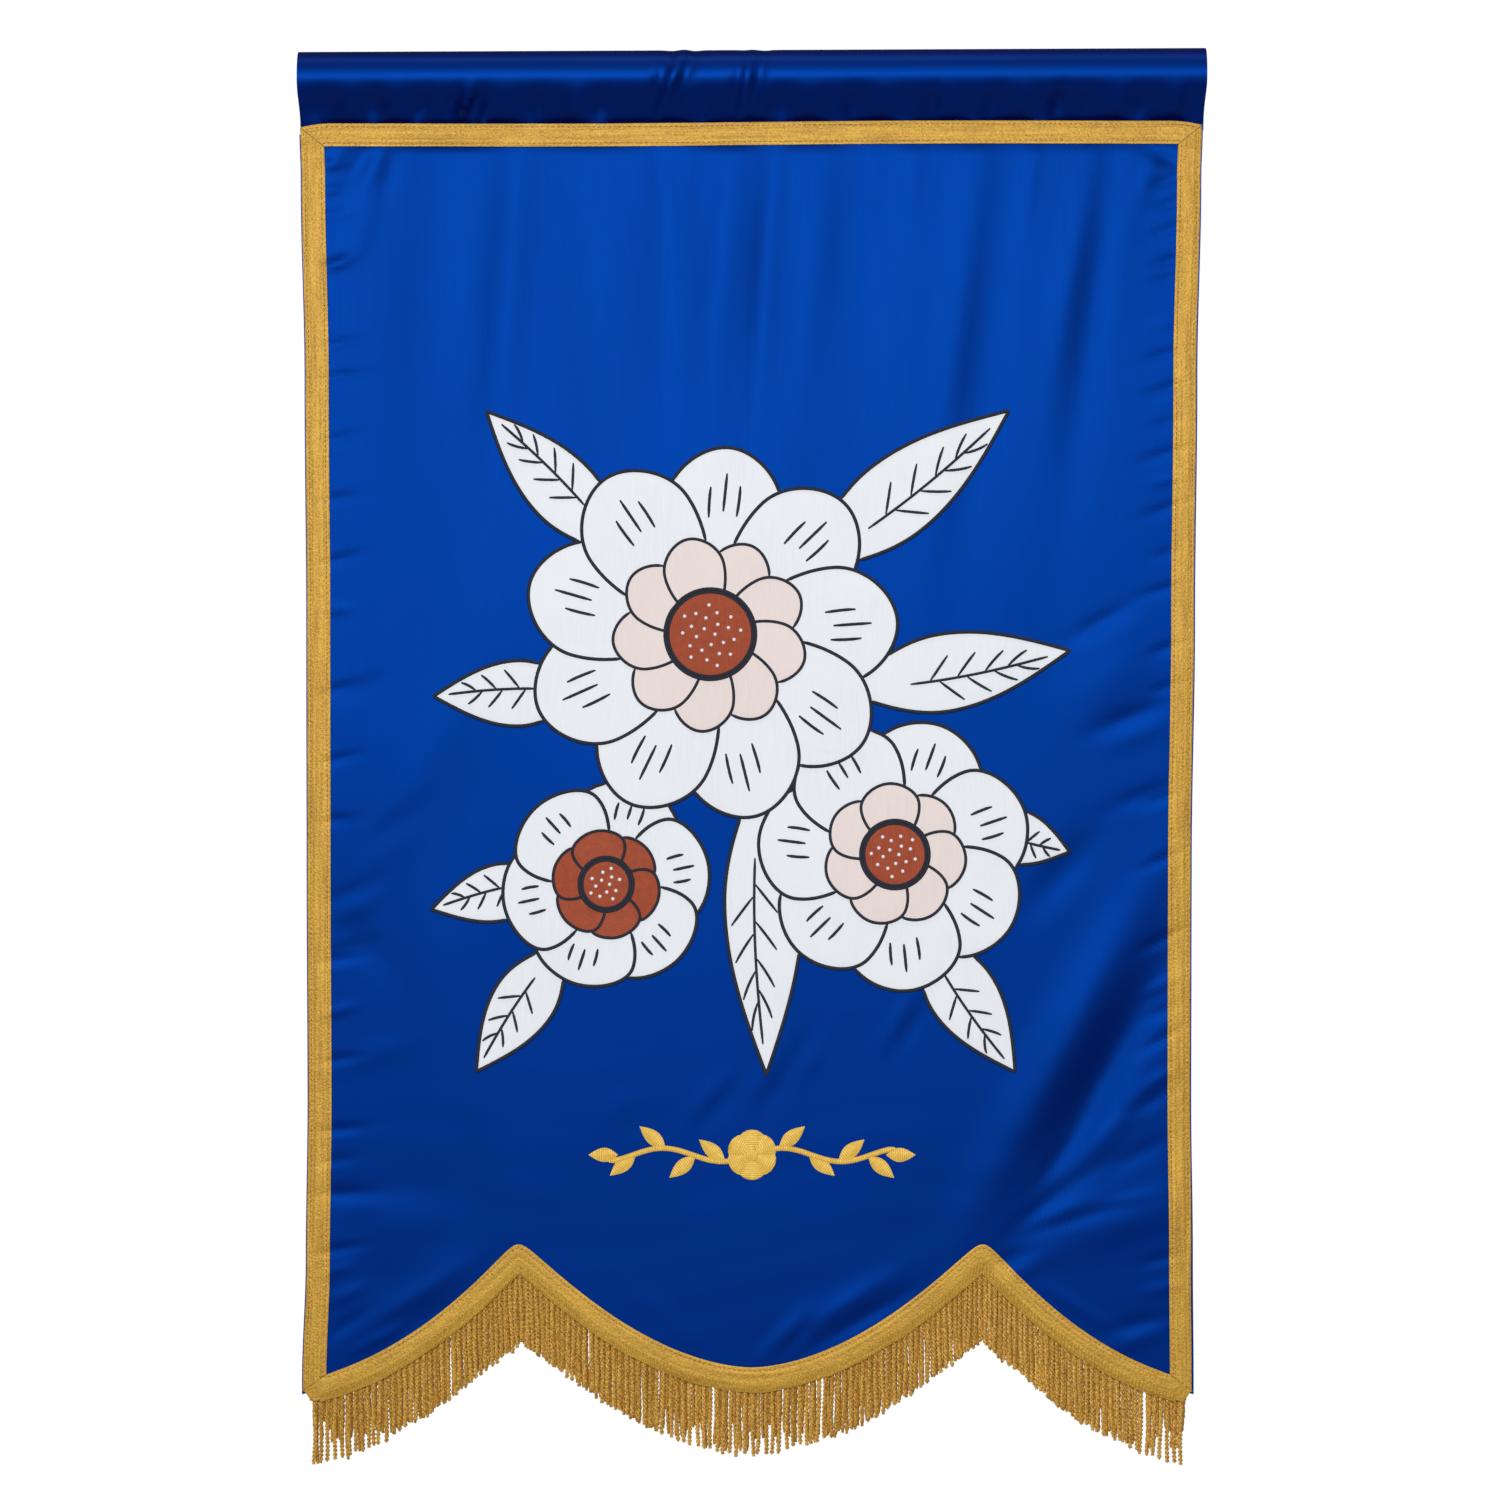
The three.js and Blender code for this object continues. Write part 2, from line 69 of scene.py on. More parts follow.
camera = bpy.data.objects.new("camera", bpy.data.cameras.new("camera"))
bpy.context.collection.objects.link(camera)
camera.data.sensor_width = SENSOR_WIDTH
camera.data.lens = SENSOR_WIDTH * CAMERA_DISTANCE / picture_width
camera.location = (aim_x * MM, -CAMERA_DISTANCE * MM, aim_z * MM)
camera.rotation_euler = (math.radians(90), 0, 0)
bpy.context.scene.camera = camera
print(f"lens {camera.data.lens:.0f} mm, the picture is {picture_width:.0f} mm wide at the banner")

# %% [markdown]
# Small tools for materials. Colours are written as the hex values that a colour picker shows, and one function turns
# them into the linear values that the shader wants. One more function adds a node, sets it and links it, so a material
# reads as a list of steps.

# %% Material tools
def linear(hex_colour):
    """A six-digit sRGB hex colour as the shader's linear RGBA."""
    parts = [int(hex_colour[i:i + 2], 16) / 255 for i in (1, 3, 5)]
    return tuple(p / 12.92 if p <= 0.04045 else ((p + 0.055) / 1.055) ** 2.4 for p in parts) + (1,)


def add_node(tree, kind, settings=None, inputs=None):
    """Adds a node. An input's value is a number or colour to set, or another node's output to link."""
    node = tree.nodes.new(kind)
    for name, value in (settings or {}).items():
        setattr(node, name, value)
    for name, value in (inputs or {}).items():
        if isinstance(value, bpy.types.NodeSocket):
            tree.links.new(value, node.inputs[name])
        else:
            node.inputs[name].default_value = value
    return node


def new_material(name, **shader_inputs):
    """A material with its surface shader. Returns the material, its node tree and the shader."""
    material = bpy.data.materials.new(name)
    material.use_nodes = True
    tree = material.node_tree
    shader = tree.nodes["Principled BSDF"]
    for socket, value in shader_inputs.items():
        shader.inputs[socket.replace("_", " ")].default_value = value
    return material, tree, shader


def mix_colours(tree, share, first, second):
    """Mixes two colours by a share from 0 to 1."""
    node = add_node(tree, "ShaderNodeMix", {"data_type": "RGBA"}, {0: share, 6: first, 7: second})
    return node.outputs[2]


def spread(tree, value, low, high):
    """Stretches the part of a value between low and high to run from 0 to 1."""
    node = add_node(tree, "ShaderNodeMapRange", {}, {"Value": value, "From Min": low, "From Max": high})
    return node.outputs["Result"]


def shades(tree, value, low, high, first, second):
    """Mixes two hex colours as a value runs from low to high."""
    return mix_colours(tree, spread(tree, value, low, high), linear(first), linear(second))


def calculate(tree, operation, first, second=0.0):
    node = add_node(tree, "ShaderNodeMath", {"operation": operation}, {0: first, 1: second})
    return node.outputs[0]


def place_in_mm(tree, scale=(1, 1, 1)):
    """The point's place on the banner, in millimetres, with each axis stretched by scale."""
    place = add_node(tree, "ShaderNodeNewGeometry").outputs["Position"]
    stretch = tuple(s / MM for s in scale)
    node = add_node(tree, "ShaderNodeVectorMath", {"operation": "MULTIPLY"}, {0: place, 1: stretch})
    return node.outputs[0]


def along_across(tree):
    """The mesh's own coordinates, along and across a piece."""
    return add_node(tree, "ShaderNodeUVMap", {"uv_map": "along_across"}).outputs["UV"]


def first_coordinate(tree):
    return add_node(tree, "ShaderNodeSeparateXYZ", {}, {0: along_across(tree)}).outputs["X"]


def noise(tree, vector, scale, detail):
    node = add_node(tree, "ShaderNodeTexNoise", {}, {"Vector": vector, "Scale": scale, "Detail": detail})
    return node.outputs["Fac"]


def bump(tree, shader, height, distance_mm, strength):
    """Raises the surface by a height from 0 to 1 times a real distance."""
    inputs = {"Height": height, "Distance": distance_mm * MM, "Strength": strength}
    node = add_node(tree, "ShaderNodeBump", {}, inputs)
    tree.links.new(node.outputs["Normal"], shader.inputs["Normal"])

# %% [markdown]
# Polyester satin. In a satin weave most warp threads float on the face, so light slides along them: the cloth is deep
# and almost black-blue where it turns away, and a bright, saturated blue where it faces the lamp. The highlight has the
# cloth's own colour, so part of the reflection is tinted like a metal's. The warp floats are 0.2 mm apart, far too fine
# to show, so they are drawn about 1.4 mm wide and very faint, stretched along the hang of the cloth.

# %% Blue satin
# How many floats, and how many soft clouds of tone, a millimetre of cloth holds
FLOATS_PER_MM, CLOUDS_PER_MM = 0.7, 0.012
# A float is drawn 25 times as long as it is wide, and a cloud twice as long
FLOAT_SQUASH, CLOUD_SQUASH = 0.04, 0.5
FLOAT_SHARE = 0.3
SATIN_ROUGHNESS = (0.455, 0.49)


def make_blue_satin():
    material, tree, shader = new_material(
        "polyester_satin_blue",
        Metallic=0.3, IOR=1.72, Specular_IOR_Level=1.0, Specular_Tint=linear("#0678FF"),
    )
    floats = noise(tree, place_in_mm(tree, (1.0, 1.0, FLOAT_SQUASH)), FLOATS_PER_MM, 3)
    clouds = noise(tree, place_in_mm(tree, (1.0, 1.0, CLOUD_SQUASH)), CLOUDS_PER_MM, 2)
    tone = shades(tree, clouds, 0.3, 0.7, "#02084E", "#020A56")
    thread = shades(tree, floats, 0.35, 0.65, "#020950", "#020A56")
    tree.links.new(mix_colours(tree, FLOAT_SHARE, tone, thread), shader.inputs["Base Color"])
    smoothest, roughest = SATIN_ROUGHNESS
    inputs = {"Value": floats, "To Min": smoothest, "To Max": roughest}
    rough = add_node(tree, "ShaderNodeMapRange", {}, inputs)
    tree.links.new(rough.outputs["Result"], shader.inputs["Roughness"])
    bump(tree, shader, floats, 0.02, 0.5)
    return material


blue_satin = make_blue_satin()
print("made", blue_satin.name)

# %% [markdown]
# White satin for the applique. It is the same kind of cloth, bleached, so it scatters nearly all light and shows only
# soft grey where the folds of the panel run on beneath it.

# %% White and pink satin
WHITE_THREADS_PER_MM, WHITE_CLOUDS_PER_MM = 0.8, 0.02


def make_pale_satin(name, light, shade):
    material, tree, shader = new_material(name, Roughness=0.55, IOR=1.53, Sheen_Weight=0.15)
    threads = noise(tree, place_in_mm(tree, (1.0, 1.0, 2 * FLOAT_SQUASH)), WHITE_THREADS_PER_MM, 3)
    clouds = noise(tree, place_in_mm(tree), WHITE_CLOUDS_PER_MM, 2)
    share = calculate(tree, "MULTIPLY", spread(tree, threads, 0.3, 0.7), spread(tree, clouds, 0.25, 0.75))
    tree.links.new(mix_colours(tree, share, linear(light), linear(shade)), shader.inputs["Base Color"])
    bump(tree, shader, threads, 0.03, 0.5)
    return material


white_satin = make_pale_satin("polyester_satin_white", "#EBEFF5", "#E3E8EF")
pink_satin = make_pale_satin("polyester_satin_pink", "#EADCD8", "#E2D1CC")
print("made", white_satin.name, "and", pink_satin.name)

# %% [markdown]
# Metallised braid. The braid is plaited from yarn wrapped with gold-coloured film, about 0.5 mm thick, so its face is a
# sparkle of small bright and brown flecks with lines running along it. The mesh gives each braid a coordinate along and
# across its length in millimetres, which keeps those lines parallel to its edges round every curve.

# %% Gold braid
FLECKS_PER_MM, FINE_FLECKS_PER_MM, PATCHES_PER_MM = 0.62, 1.5, 0.05
# The coordinates are in metres. A line is drawn about 33 times as long as it is wide
LINE_STRETCH, LINES_PER_MM = (30, 1000, 0), 0.55
LINE_SHARE, PATCH_SHARE = 0.45, 0.2


def make_gold_braid(name, light, middle, dark):
    material, tree, shader = new_material(name, Roughness=0.5, Metallic=0.35, IOR=1.5)
    along = along_across(tree)
    flecks = noise(tree, place_in_mm(tree), FLECKS_PER_MM, 2)
    fine = noise(tree, place_in_mm(tree), FINE_FLECKS_PER_MM, 1)
    lines_at = add_node(tree, "ShaderNodeVectorMath", {"operation": "MULTIPLY"}, {0: along, 1: LINE_STRETCH})
    lines = noise(tree, lines_at.outputs[0], LINES_PER_MM, 2)
    patches = noise(tree, place_in_mm(tree), PATCHES_PER_MM, 2)
    colour = shades(tree, flecks, 0.36, 0.62, dark, middle)
    colour = mix_colours(tree, spread(tree, fine, 0.45, 0.7), colour, linear(light))
    toned = shades(tree, lines, 0.3, 0.7, dark, light)
    colour = mix_colours(tree, LINE_SHARE, colour, toned)
    patch = shades(tree, patches, 0.3, 0.7, middle, light)
    tree.links.new(mix_colours(tree, PATCH_SHARE, colour, patch), shader.inputs["Base Color"])
    height = calculate(tree, "ADD", flecks, calculate(tree, "MULTIPLY", fine, 0.5))
    bump(tree, shader, height, 0.5, 0.7)
    return material


gold_braid = make_gold_braid("metallised_braid_gold", "#DBAE3E", "#BC8D24", "#7E540F")
braid_thread = make_gold_braid("sewing_thread_gold", "#A67A28", "#8A6220", "#634619")
print("made", gold_braid.name, "and", braid_thread.name)

# %% [markdown]
# Twisted cord. Each strand of the fringe is two plies of gold yarn twisted together. The mesh already has the two
# plies; the material adds the flecks of the yarn's own fine twist, and a tone for each strand, kept in the mesh's
# first coordinate.

# %% Gold cord
CORD_FLECKS_PER_MM, FLECK_SHARE = 0.7, 0.65


def make_gold_cord():
    material, tree, shader = new_material("twisted_cord_gold", Roughness=0.5, Metallic=0.3, IOR=1.5)
    flecks = noise(tree, place_in_mm(tree), CORD_FLECKS_PER_MM, 2)
    # A strand's tone sets its colour; the rear row's low tones are painted shade
    colour = mix_colours(tree, first_coordinate(tree), linear("#CC9430"), linear("#F6C862"))
    dark = mix_colours(tree, spread(tree, flecks, 0.4, 0.62), linear("#7C5014"), colour)
    tree.links.new(mix_colours(tree, FLECK_SHARE, colour, dark), shader.inputs["Base Color"])
    bump(tree, shader, flecks, 0.35, 0.7)
    return material


gold_cord = make_gold_cord()
print("made", gold_cord.name)

# %% [markdown]
# Embroidery thread. Satin stitch lays rayon threads side by side across a shape, so the surface is a row of fine ridges
# that all run one way. Rayon thread is 0.4 mm thick; the ridges are drawn about 1 mm wide to show. The coordinate along
# the shape drives them, so the stitches stay square to every leaf. The colour is lighter on each crest and darker in
# each groove: painted highlight and painted shade.

# %% Embroidery threads
# A stitch wanders sideways by this part of a turn of its ridge, at this many wanders to a millimetre
WANDER, WANDERS_PER_MM = 0.6, 0.5
THREAD_TONES_PER_MM, TONE_SHARE = 0.25, 0.35


def make_stitched(name, light, dark, stitch_mm, roughness=0.45, metallic=0.0):
    material, tree, shader = new_material(name, Roughness=roughness, Metallic=metallic, IOR=1.52)
    wander = calculate(tree, "MULTIPLY", noise(tree, place_in_mm(tree), WANDERS_PER_MM, 2), WANDER)
    turns = calculate(tree, "MULTIPLY", first_coordinate(tree), 2 * math.pi / (stitch_mm * MM))
    wave = calculate(tree, "SINE", calculate(tree, "ADD", turns, calculate(tree, "MULTIPLY", wander, 6)))
    ridge = spread(tree, wave, -1, 1)
    patches = noise(tree, place_in_mm(tree), THREAD_TONES_PER_MM, 2)
    # Lighter on each ridge's crest and darker in its groove: painted highlight and painted shade
    colour = mix_colours(tree, ridge, linear(dark), linear(light))
    tone = shades(tree, patches, 0.3, 0.7, dark, light)
    tree.links.new(mix_colours(tree, TONE_SHARE, colour, tone), shader.inputs["Base Color"])
    bump(tree, shader, ridge, 0.3, 0.8)
    return material


gold_stitch = make_stitched("rayon_satin_stitch_gold", "#FFDA62", "#D9A238", 1.5, metallic=0.1)
rust_stitch = make_stitched("cotton_fill_stitch_rust", "#B9512A", "#93391A", 1.1, 0.6)
dark_stitch = make_stitched("cotton_cord_stitch_navy", "#1C2236", "#10141F", 1.2, 0.7)
print("made", gold_stitch.name, rust_stitch.name, dark_stitch.name)

# %% [markdown]
# Mesh tools. Everything sewn here is one of two shapes: a sheet, which is two copies of one grid of points with a rim
# round them, or a cord, which is a row of rings with rounded ends. Both are collected in a pile of points and faces, so
# that many leaves or strands can become one piece.

# %% Mesh tools
def walked_along(line):
    """The distance walked along a line of points, to each of them."""
    return np.concatenate([[0], np.cumsum(np.linalg.norm(np.diff(line, axis=0), axis=1))])


class Pile:
    """Points, faces and along-and-across coordinates, in millimetres, until they become a piece."""

    def __init__(self):
        self.points = []
        self.faces = []
        self.coordinates = []
        self.count = 0

    def add(self, points, faces, coordinates=None):
        points = np.asarray(points, float).reshape(-1, 3)
        if coordinates is None:
            coordinates = points[:, (0, 2)]
        self.points.append(points)
        self.coordinates.append(np.asarray(coordinates, float).reshape(-1, 2))
        self.faces.extend([tuple(self.count + i for i in face) for face in faces])
        self.count += len(points)

    def add_sheet(self, front, back, coordinates=None):
        """A closed sheet. front and back are grids of points, columns to the right and rows downwards."""
        columns, rows = front.shape[:2]
        points = np.concatenate([front.reshape(-1, 3), back.reshape(-1, 3)])
        if coordinates is not None:
            coordinates = np.concatenate([coordinates.reshape(-1, 2)] * 2)
        near = np.arange(columns * rows).reshape(columns, rows)
        far = near + columns * rows
        faces = []

        def quads(a, b, c, d):
            faces.extend(np.stack([x.ravel() for x in (a, b, c, d)], axis=1).tolist())

        quads(near[:-1, :-1], near[:-1, 1:], near[1:, 1:], near[1:, :-1])
        quads(far[:-1, :-1], far[1:, :-1], far[1:, 1:], far[:-1, 1:])
        quads(near[:-1, 0], near[1:, 0], far[1:, 0], far[:-1, 0])
        quads(near[:-1, -1], far[:-1, -1], far[1:, -1], near[1:, -1])
        quads(near[0, :-1], far[0, :-1], far[0, 1:], near[0, 1:])
        quads(near[-1, :-1], near[-1, 1:], far[-1, 1:], far[-1, :-1])
        self.add(points, faces, coordinates)

    def add_rings(self, rings, first_tip, last_tip, tone=None):
        """A cord of rings of points, closed at each end by a fan to its tip. tone fills the first coordinate."""
        rings = np.asarray(rings, float)
        count, sides = rings.shape[:2]
        points = np.concatenate([rings.reshape(-1, 3), [first_tip], [last_tip]])
        ring = np.arange(count * sides).reshape(count, sides)
        turned = np.roll(ring, -1, axis=1)
        stacked = [ring[:-1], turned[:-1], turned[1:], ring[1:]]
        faces = np.stack([x.ravel() for x in stacked], axis=1).tolist()
        first, last = count * sides, count * sides + 1
        faces += [(first, int(b), int(a)) for a, b in zip(ring[0], turned[0])]
        faces += [(last, int(a), int(b)) for a, b in zip(ring[-1], turned[-1])]
        along = np.repeat(walked_along(rings.mean(axis=1)), sides)
        along = np.concatenate([along, [along[0]], [along[-1]]])
        if tone is None:
            coordinates = np.stack([along, np.zeros_like(along)], axis=1)
        else:
            coordinates = np.stack([np.full_like(along, tone / MM), along], axis=1)
        self.add(points, faces, coordinates)


# Faces that meet at more than this angle keep a sharp edge, and points this close, in millimetres, are welded
SHARP_ANGLE = math.radians(50)
WELD_WITHIN = 0.003


def make_piece(name, pile, material, tidy=False):
    """Turns a pile into an object in metres, smooth shaded, with its coordinates as a UV map."""
    mesh = bpy.data.meshes.new(name)
    mesh.from_pydata((np.concatenate(pile.points) * MM).tolist(), [], pile.faces)
    coordinates = np.concatenate(pile.coordinates) * MM
    corners = np.empty(len(mesh.loops), dtype=np.int32)
    mesh.loops.foreach_get("vertex_index", corners)
    layer = mesh.uv_layers.new(name="along_across")
    layer.data.foreach_set("uv", coordinates[corners].ravel())
    mesh.polygons.foreach_set("use_smooth", [True] * len(mesh.polygons))
    mesh.materials.append(material)
    piece = bpy.data.objects.new(name, mesh)
    bpy.context.collection.objects.link(piece)
    if tidy:
        weld(mesh)
    mesh.set_sharp_from_angle(angle=SHARP_ANGLE)
    print(f"{name}: {sum(len(p.vertices) - 2 for p in mesh.polygons)} triangles")
    return piece


def weld(mesh):
    """Joins points that lie on each other, such as those of a leaf's tip, and drops faces with no area."""
    work = bmesh.new()
    work.from_mesh(mesh)
    bmesh.ops.remove_doubles(work, verts=work.verts, dist=WELD_WITHIN * MM)
    bmesh.ops.dissolve_degenerate(work, dist=WELD_WITHIN * MM, edges=work.edges)
    work.to_mesh(mesh)
    work.free()

# %% [markdown]
# The form of the hanging cloth. A place on the flat cut is named u, its distance from the middle, from -300 to 300.
# The hanging banner draws in a little below the sleeve and flares at its lower corners, and the hem runs in three lobes
# with two peaks between them. These are the sizes that the solids have, so the dressed pieces land where they lie.

# %% Outline of the cloth
CLOTH_THICK = 1.2
SEWN_GAP = 0.3
SLEEVE_LENGTH = 610
SLEEVE_RISE = 2.7
SEAM_DEPTH = 45.6
LIP_DEPTH = 8.5
HALF_WIDTH = 300
FACE = CLOTH_THICK / 2
# What is sewn on starts this far in front of the cloth's middle
SEWN_ON = FACE + SEWN_GAP

# Each row: depth below the rod, half width on the left, half width on the right
SIDE_EDGES = np.array([
    (45, 304.8, 303.6), (86, 303.5, 302.2), (221, 300.8, 299.4), (382, 299.6, 297.8), (544, 299.4, 295.6),
    (705, 298.9, 295.4), (813, 300.2, 296.6), (894, 302.8, 297.2), (960, 302.8, 297.2),
])
PEAK_AT, PEAK_DEPTH, PEAK_ROUND = 157, 802.2, 6
# Each lobe: how far it hangs below the peaks, how far it runs, how full its curve is
INNER_LOBE = (82.9, 152.1, 1.8)
OUTER_LOBE = (98, 200, 2.4)
CUT_BEHIND_BRAID = 9
# The hem's curve is moved square to itself by looking at this many places about each point
HEM_SAMPLES = 41


def smooth(value, low, high):
    t = np.clip((np.asarray(value, float) - low) / (high - low), 0, 1)
    return t * t * (3 - 2 * t)


def half_width(u, z):
    depth = np.clip(-np.asarray(z, float), SIDE_EDGES[0, 0], SIDE_EDGES[-1, 0] - 0.001)
    row = np.searchsorted(SIDE_EDGES[:, 0], depth, side="right") - 1
    a, b = SIDE_EDGES[row], SIDE_EDGES[row + 1]
    eased = smooth(depth, a[..., 0], b[..., 0])
    left = a[..., 1] + (b[..., 1] - a[..., 1]) * eased
    right = a[..., 2] + (b[..., 2] - a[..., 2]) * eased
    return np.where(np.asarray(u) < 0, left, right)


def hanging_x(u, z):
    return u * half_width(u, z) / HALF_WIDTH


def rise(u):
    return SLEEVE_RISE * u / SLEEVE_LENGTH


def hem_z(u):
    """The upper edge of the hem's braid."""
    u = np.abs(np.asarray(u, float))
    along = np.hypot(u - PEAK_AT, PEAK_ROUND) - PEAK_ROUND
    inner = INNER_LOBE[0] * (1 - np.clip(1 - along / INNER_LOBE[1], 0, 1) ** INNER_LOBE[2])
    outer = OUTER_LOBE[0] * (1 - np.clip(1 - along / OUTER_LOBE[1], 0, 1) ** OUTER_LOBE[2])
    return -PEAK_DEPTH - np.where(u < PEAK_AT, inner, outer)


def lowered_hem_z(u, by):
    """The hem's curve moved down square to itself."""
    u = np.asarray(u, float)
    if by <= 0:
        return hem_z(u)
    aside = np.linspace(-by, by, HEM_SAMPLES)
    drop = np.sqrt(np.maximum(0, by * by - aside * aside))
    return (hem_z(u[..., None] + aside) - drop).min(axis=-1)


cloth_top = -SEAM_DEPTH - LIP_DEPTH - SEWN_GAP
print(f"the panel runs from {cloth_top:.1f} mm down to {lowered_hem_z(0, CUT_BEHIND_BRAID):.1f} mm at its middle")

# %% [markdown]
# Folds and creases. Satin shows every small change of direction, so most of the look of this banner is in its folds.
# Each one is a soft ridge or trough with a place, a lean, a length, a width and a height, put where the photograph has
# it. The main folds follow those of the solids but are 0.3 to 2 mm lower, with some more between them. The finer
# creases are added here: streaks below the seam, fans from the lower corners, and the short puckers where the side
# braids pull the cloth.

# %% Folds of the panel
# Each row: place from the middle, depth, lean to the right from upright, reach, half width, height towards the viewer
MAIN_FOLDS = [
    (-214, 150, 4, 130, 24, 1.9), (-188, 150, 4, 140, 22, 1.3), (-164, 160, 5, 140, 13, -1.4),
    (-104, 160, -2, 110, 24, 1.3), (-56, 150, 0, 90, 16, -1.3), (-20, 140, 5, 110, 14, 1.6), (9, 150, 4, 90, 8, -1.3),
    (38, 160, 6, 120, 14, 1), (74, 170, 0, 150, 22, -0.8), (136, 190, 7, 150, 12, 1), (160, 200, 6, 140, 15, -0.8),
    (213, 150, 9, 90, 11, 1), (229, 190, 8, 120, 13, -1), (246, 120, 6, 80, 10, 0.6), (-238, 500, 28, 90, 26, 2.0),
    (-262, 600, -48, 36, 13, -0.4), (242, 420, 40, 34, 22, 1.3), (212, 552, 42, 34, 11, -1.0),
    (212, 669, 28, 115, 17, 2.9), (237, 694, 29, 88, 14, -3.6), (-240, 790, 0, 24, 20, 0.7),
    (-192, 765, 0, 60, 16, -0.7), (-214, 610, -4, 120, 20, 0.7), (-258, 768, 84, 50, 13, -0.5),
    (-234, 838, 54, 50, 11, 0.5), (58, 846, 58, 50, 11, 0.6), (252, 786, 70, 48, 15, 1.2),
]
CREASES = [
    (-275, 70, 38, 12, 4, -0.72), (-262, 76, 31, 18, 5, 0.64), (-251, 78, 25, 18, 5, -0.64),
    (-240, 82, 16, 22, 5, 0.48), (-262, 124, 20, 26, 9, -0.72), (-276, 143, 60, 12, 4, -0.72),
    (-60, 88, -4, 30, 6, -0.4), (-34, 86, 4, 28, 5, 0.4), (28, 84, 6, 30, 6, 0.48), (92, 88, 2, 30, 5, -0.4),
    (108, 84, 4, 28, 5, 0.4), (186, 86, 8, 32, 5, 0.48), (277, 72, -68, 14, 4.5, -1.04), (264, 84, 20, 22, 6, 0.56),
    (236, 384, 60, 22, 5, -0.8), (240, 395, 62, 24, 8, 0.32), (256, 448, 68, 26, 6, -0.88),
    (262, 459, 68, 22, 7, 0.4), (268, 500, 68, 24, 5, -0.64), (218, 786, 74, 44, 3.6, -0.6),
    (210, 781, 66, 42, 4, 0.5), (213, 766, 54, 46, 4.2, -0.65), (206, 758, 46, 46, 5, 0.6),
    (262, 742, 62, 26, 5, -0.6), (246, 724, 44, 34, 6, 0.5), (200, 744, 35, 40, 6, 0.5),
    (272, 706, 62, 18, 4.5, -0.72), (258, 772, 78, 24, 4, 0.48), (176, 812, 64, 16, 3.4, -0.64),
    (184, 820, 60, 18, 4, 0.56), (262, 856, 76, 20, 4, -0.6), (258, 868, 70, 22, 5, 0.5), (224, 846, -58, 26, 5, 0.4),
    (-276, 768, 88, 18, 4, -0.7), (-262, 777, 82, 22, 7, 0.3), (-226, 838, 57, 40, 6, 0.6),
    (-215, 850, 57, 36, 5, -0.4), (-250, 866, 62, 20, 4, 0.64), (-270, 856, 50, 14, 4, -0.72),
    (-272, 836, 64, 14, 4, 0.48), (62, 844, 58, 38, 6, 0.6), (74, 853, 60, 40, 5, -0.75), (24, 860, 42, 18, 4, 0.64),
    (32, 864, 44, 16, 3.6, -0.64), (8, 866, 34, 14, 4, -0.32), (-60, 850, -50, 30, 8, 0.2),
    (12, 684, 30, 30, 6, 0.36), (22, 690, 30, 28, 5, -0.32), (42, 676, 30, 20, 5, 0.24), (100, 650, 30, 24, 5, 0.4),
    (110, 656, 30, 22, 5, -0.32), (-92, 712, 34, 20, 6, 0.32), (-30, 704, 38, 22, 5, 0.4),
    (-22, 708, 38, 22, 5, -0.32), (-272, 566, 64, 20, 5, -0.4), (-268, 577, 64, 20, 6, 0.36),
    (-274, 604, 76, 18, 4.5, -0.48), (-266, 430, 62, 18, 5, -0.48), (-250, 672, 70, 26, 8, 0.32),
    (-240, 520, 50, 24, 8, -0.4),
]
# Each row: depth, reach, lean, height of a pucker at the inner edge of a side braid
LEFT_PUCKERS = [
    (76, 11, 84, -0.75), (93, 9, 88, -0.83), (110, 12, 80, 0.6), (143, 11, 72, -0.83), (197, 16, 78, -0.68),
    (219, 18, 82, -0.75), (261, 14, 74, -0.6), (301, 12, 80, -0.68), (342, 15, 76, -0.75), (375, 10, 84, 0.52),
    (429, 13, 70, -0.68), (476, 15, 76, -0.68), (517, 12, 82, -0.75), (611, 16, 80, -0.75), (645, 12, 74, 0.6),
    (678, 14, 80, -0.68), (725, 16, 84, -0.75), (746, 12, 80, -0.52), (806, 15, 78, -0.75), (820, 11, 72, 0.52),
]
RIGHT_PUCKERS = [
    (86, 12, 66, -0.9), (102, 10, 72, -0.68), (120, 14, 70, -0.75), (141, 10, 76, -0.9), (153, 12, 72, -0.68),
    (182, 9, 80, 0.52), (204, 15, 74, -0.75), (227, 13, 70, -0.83), (250, 10, 76, -0.52), (271, 16, 72, -0.75),
    (288, 11, 80, 0.6), (308, 14, 70, -0.75), (338, 10, 76, -0.52), (362, 15, 74, -0.75), (402, 12, 70, -0.75),
    (428, 11, 72, -0.6), (503, 13, 68, -0.75), (544, 14, 66, -0.75), (598, 16, 62, -0.9), (628, 13, 60, 0.68),
    (646, 11, 62, -0.68), (665, 15, 58, -0.83), (690, 12, 60, 0.6), (812, 14, 74, -0.68), (832, 12, 76, 0.52),
]
PUCKER_FROM = 283
PUCKER_HALF_WIDTH = 2.7
# The cloth bows forward between the seam and the hem, most of all a little above the middle
HANG_BOW, BOW_HIGH = 4, 0.8
FOLD_FADE = 15
# Depths between which the creases, the cloth's slow unevenness and its faint weft bands come in, and their heights
CREASES_FROM, SLACK_FROM, BANDS_FROM = (58, 68), (60, 120), (560, 760)
SLACK_HEIGHT, BAND_HEIGHT = 0.25, 0.045


def pucker_rows(side, puckers):
    return [(side * (PUCKER_FROM - 0.3 * reach), depth, lean, reach, PUCKER_HALF_WIDTH, height)
            for depth, reach, lean, height in puckers]


fine_creases = CREASES + pucker_rows(-1, LEFT_PUCKERS) + pucker_rows(1, RIGHT_PUCKERS)


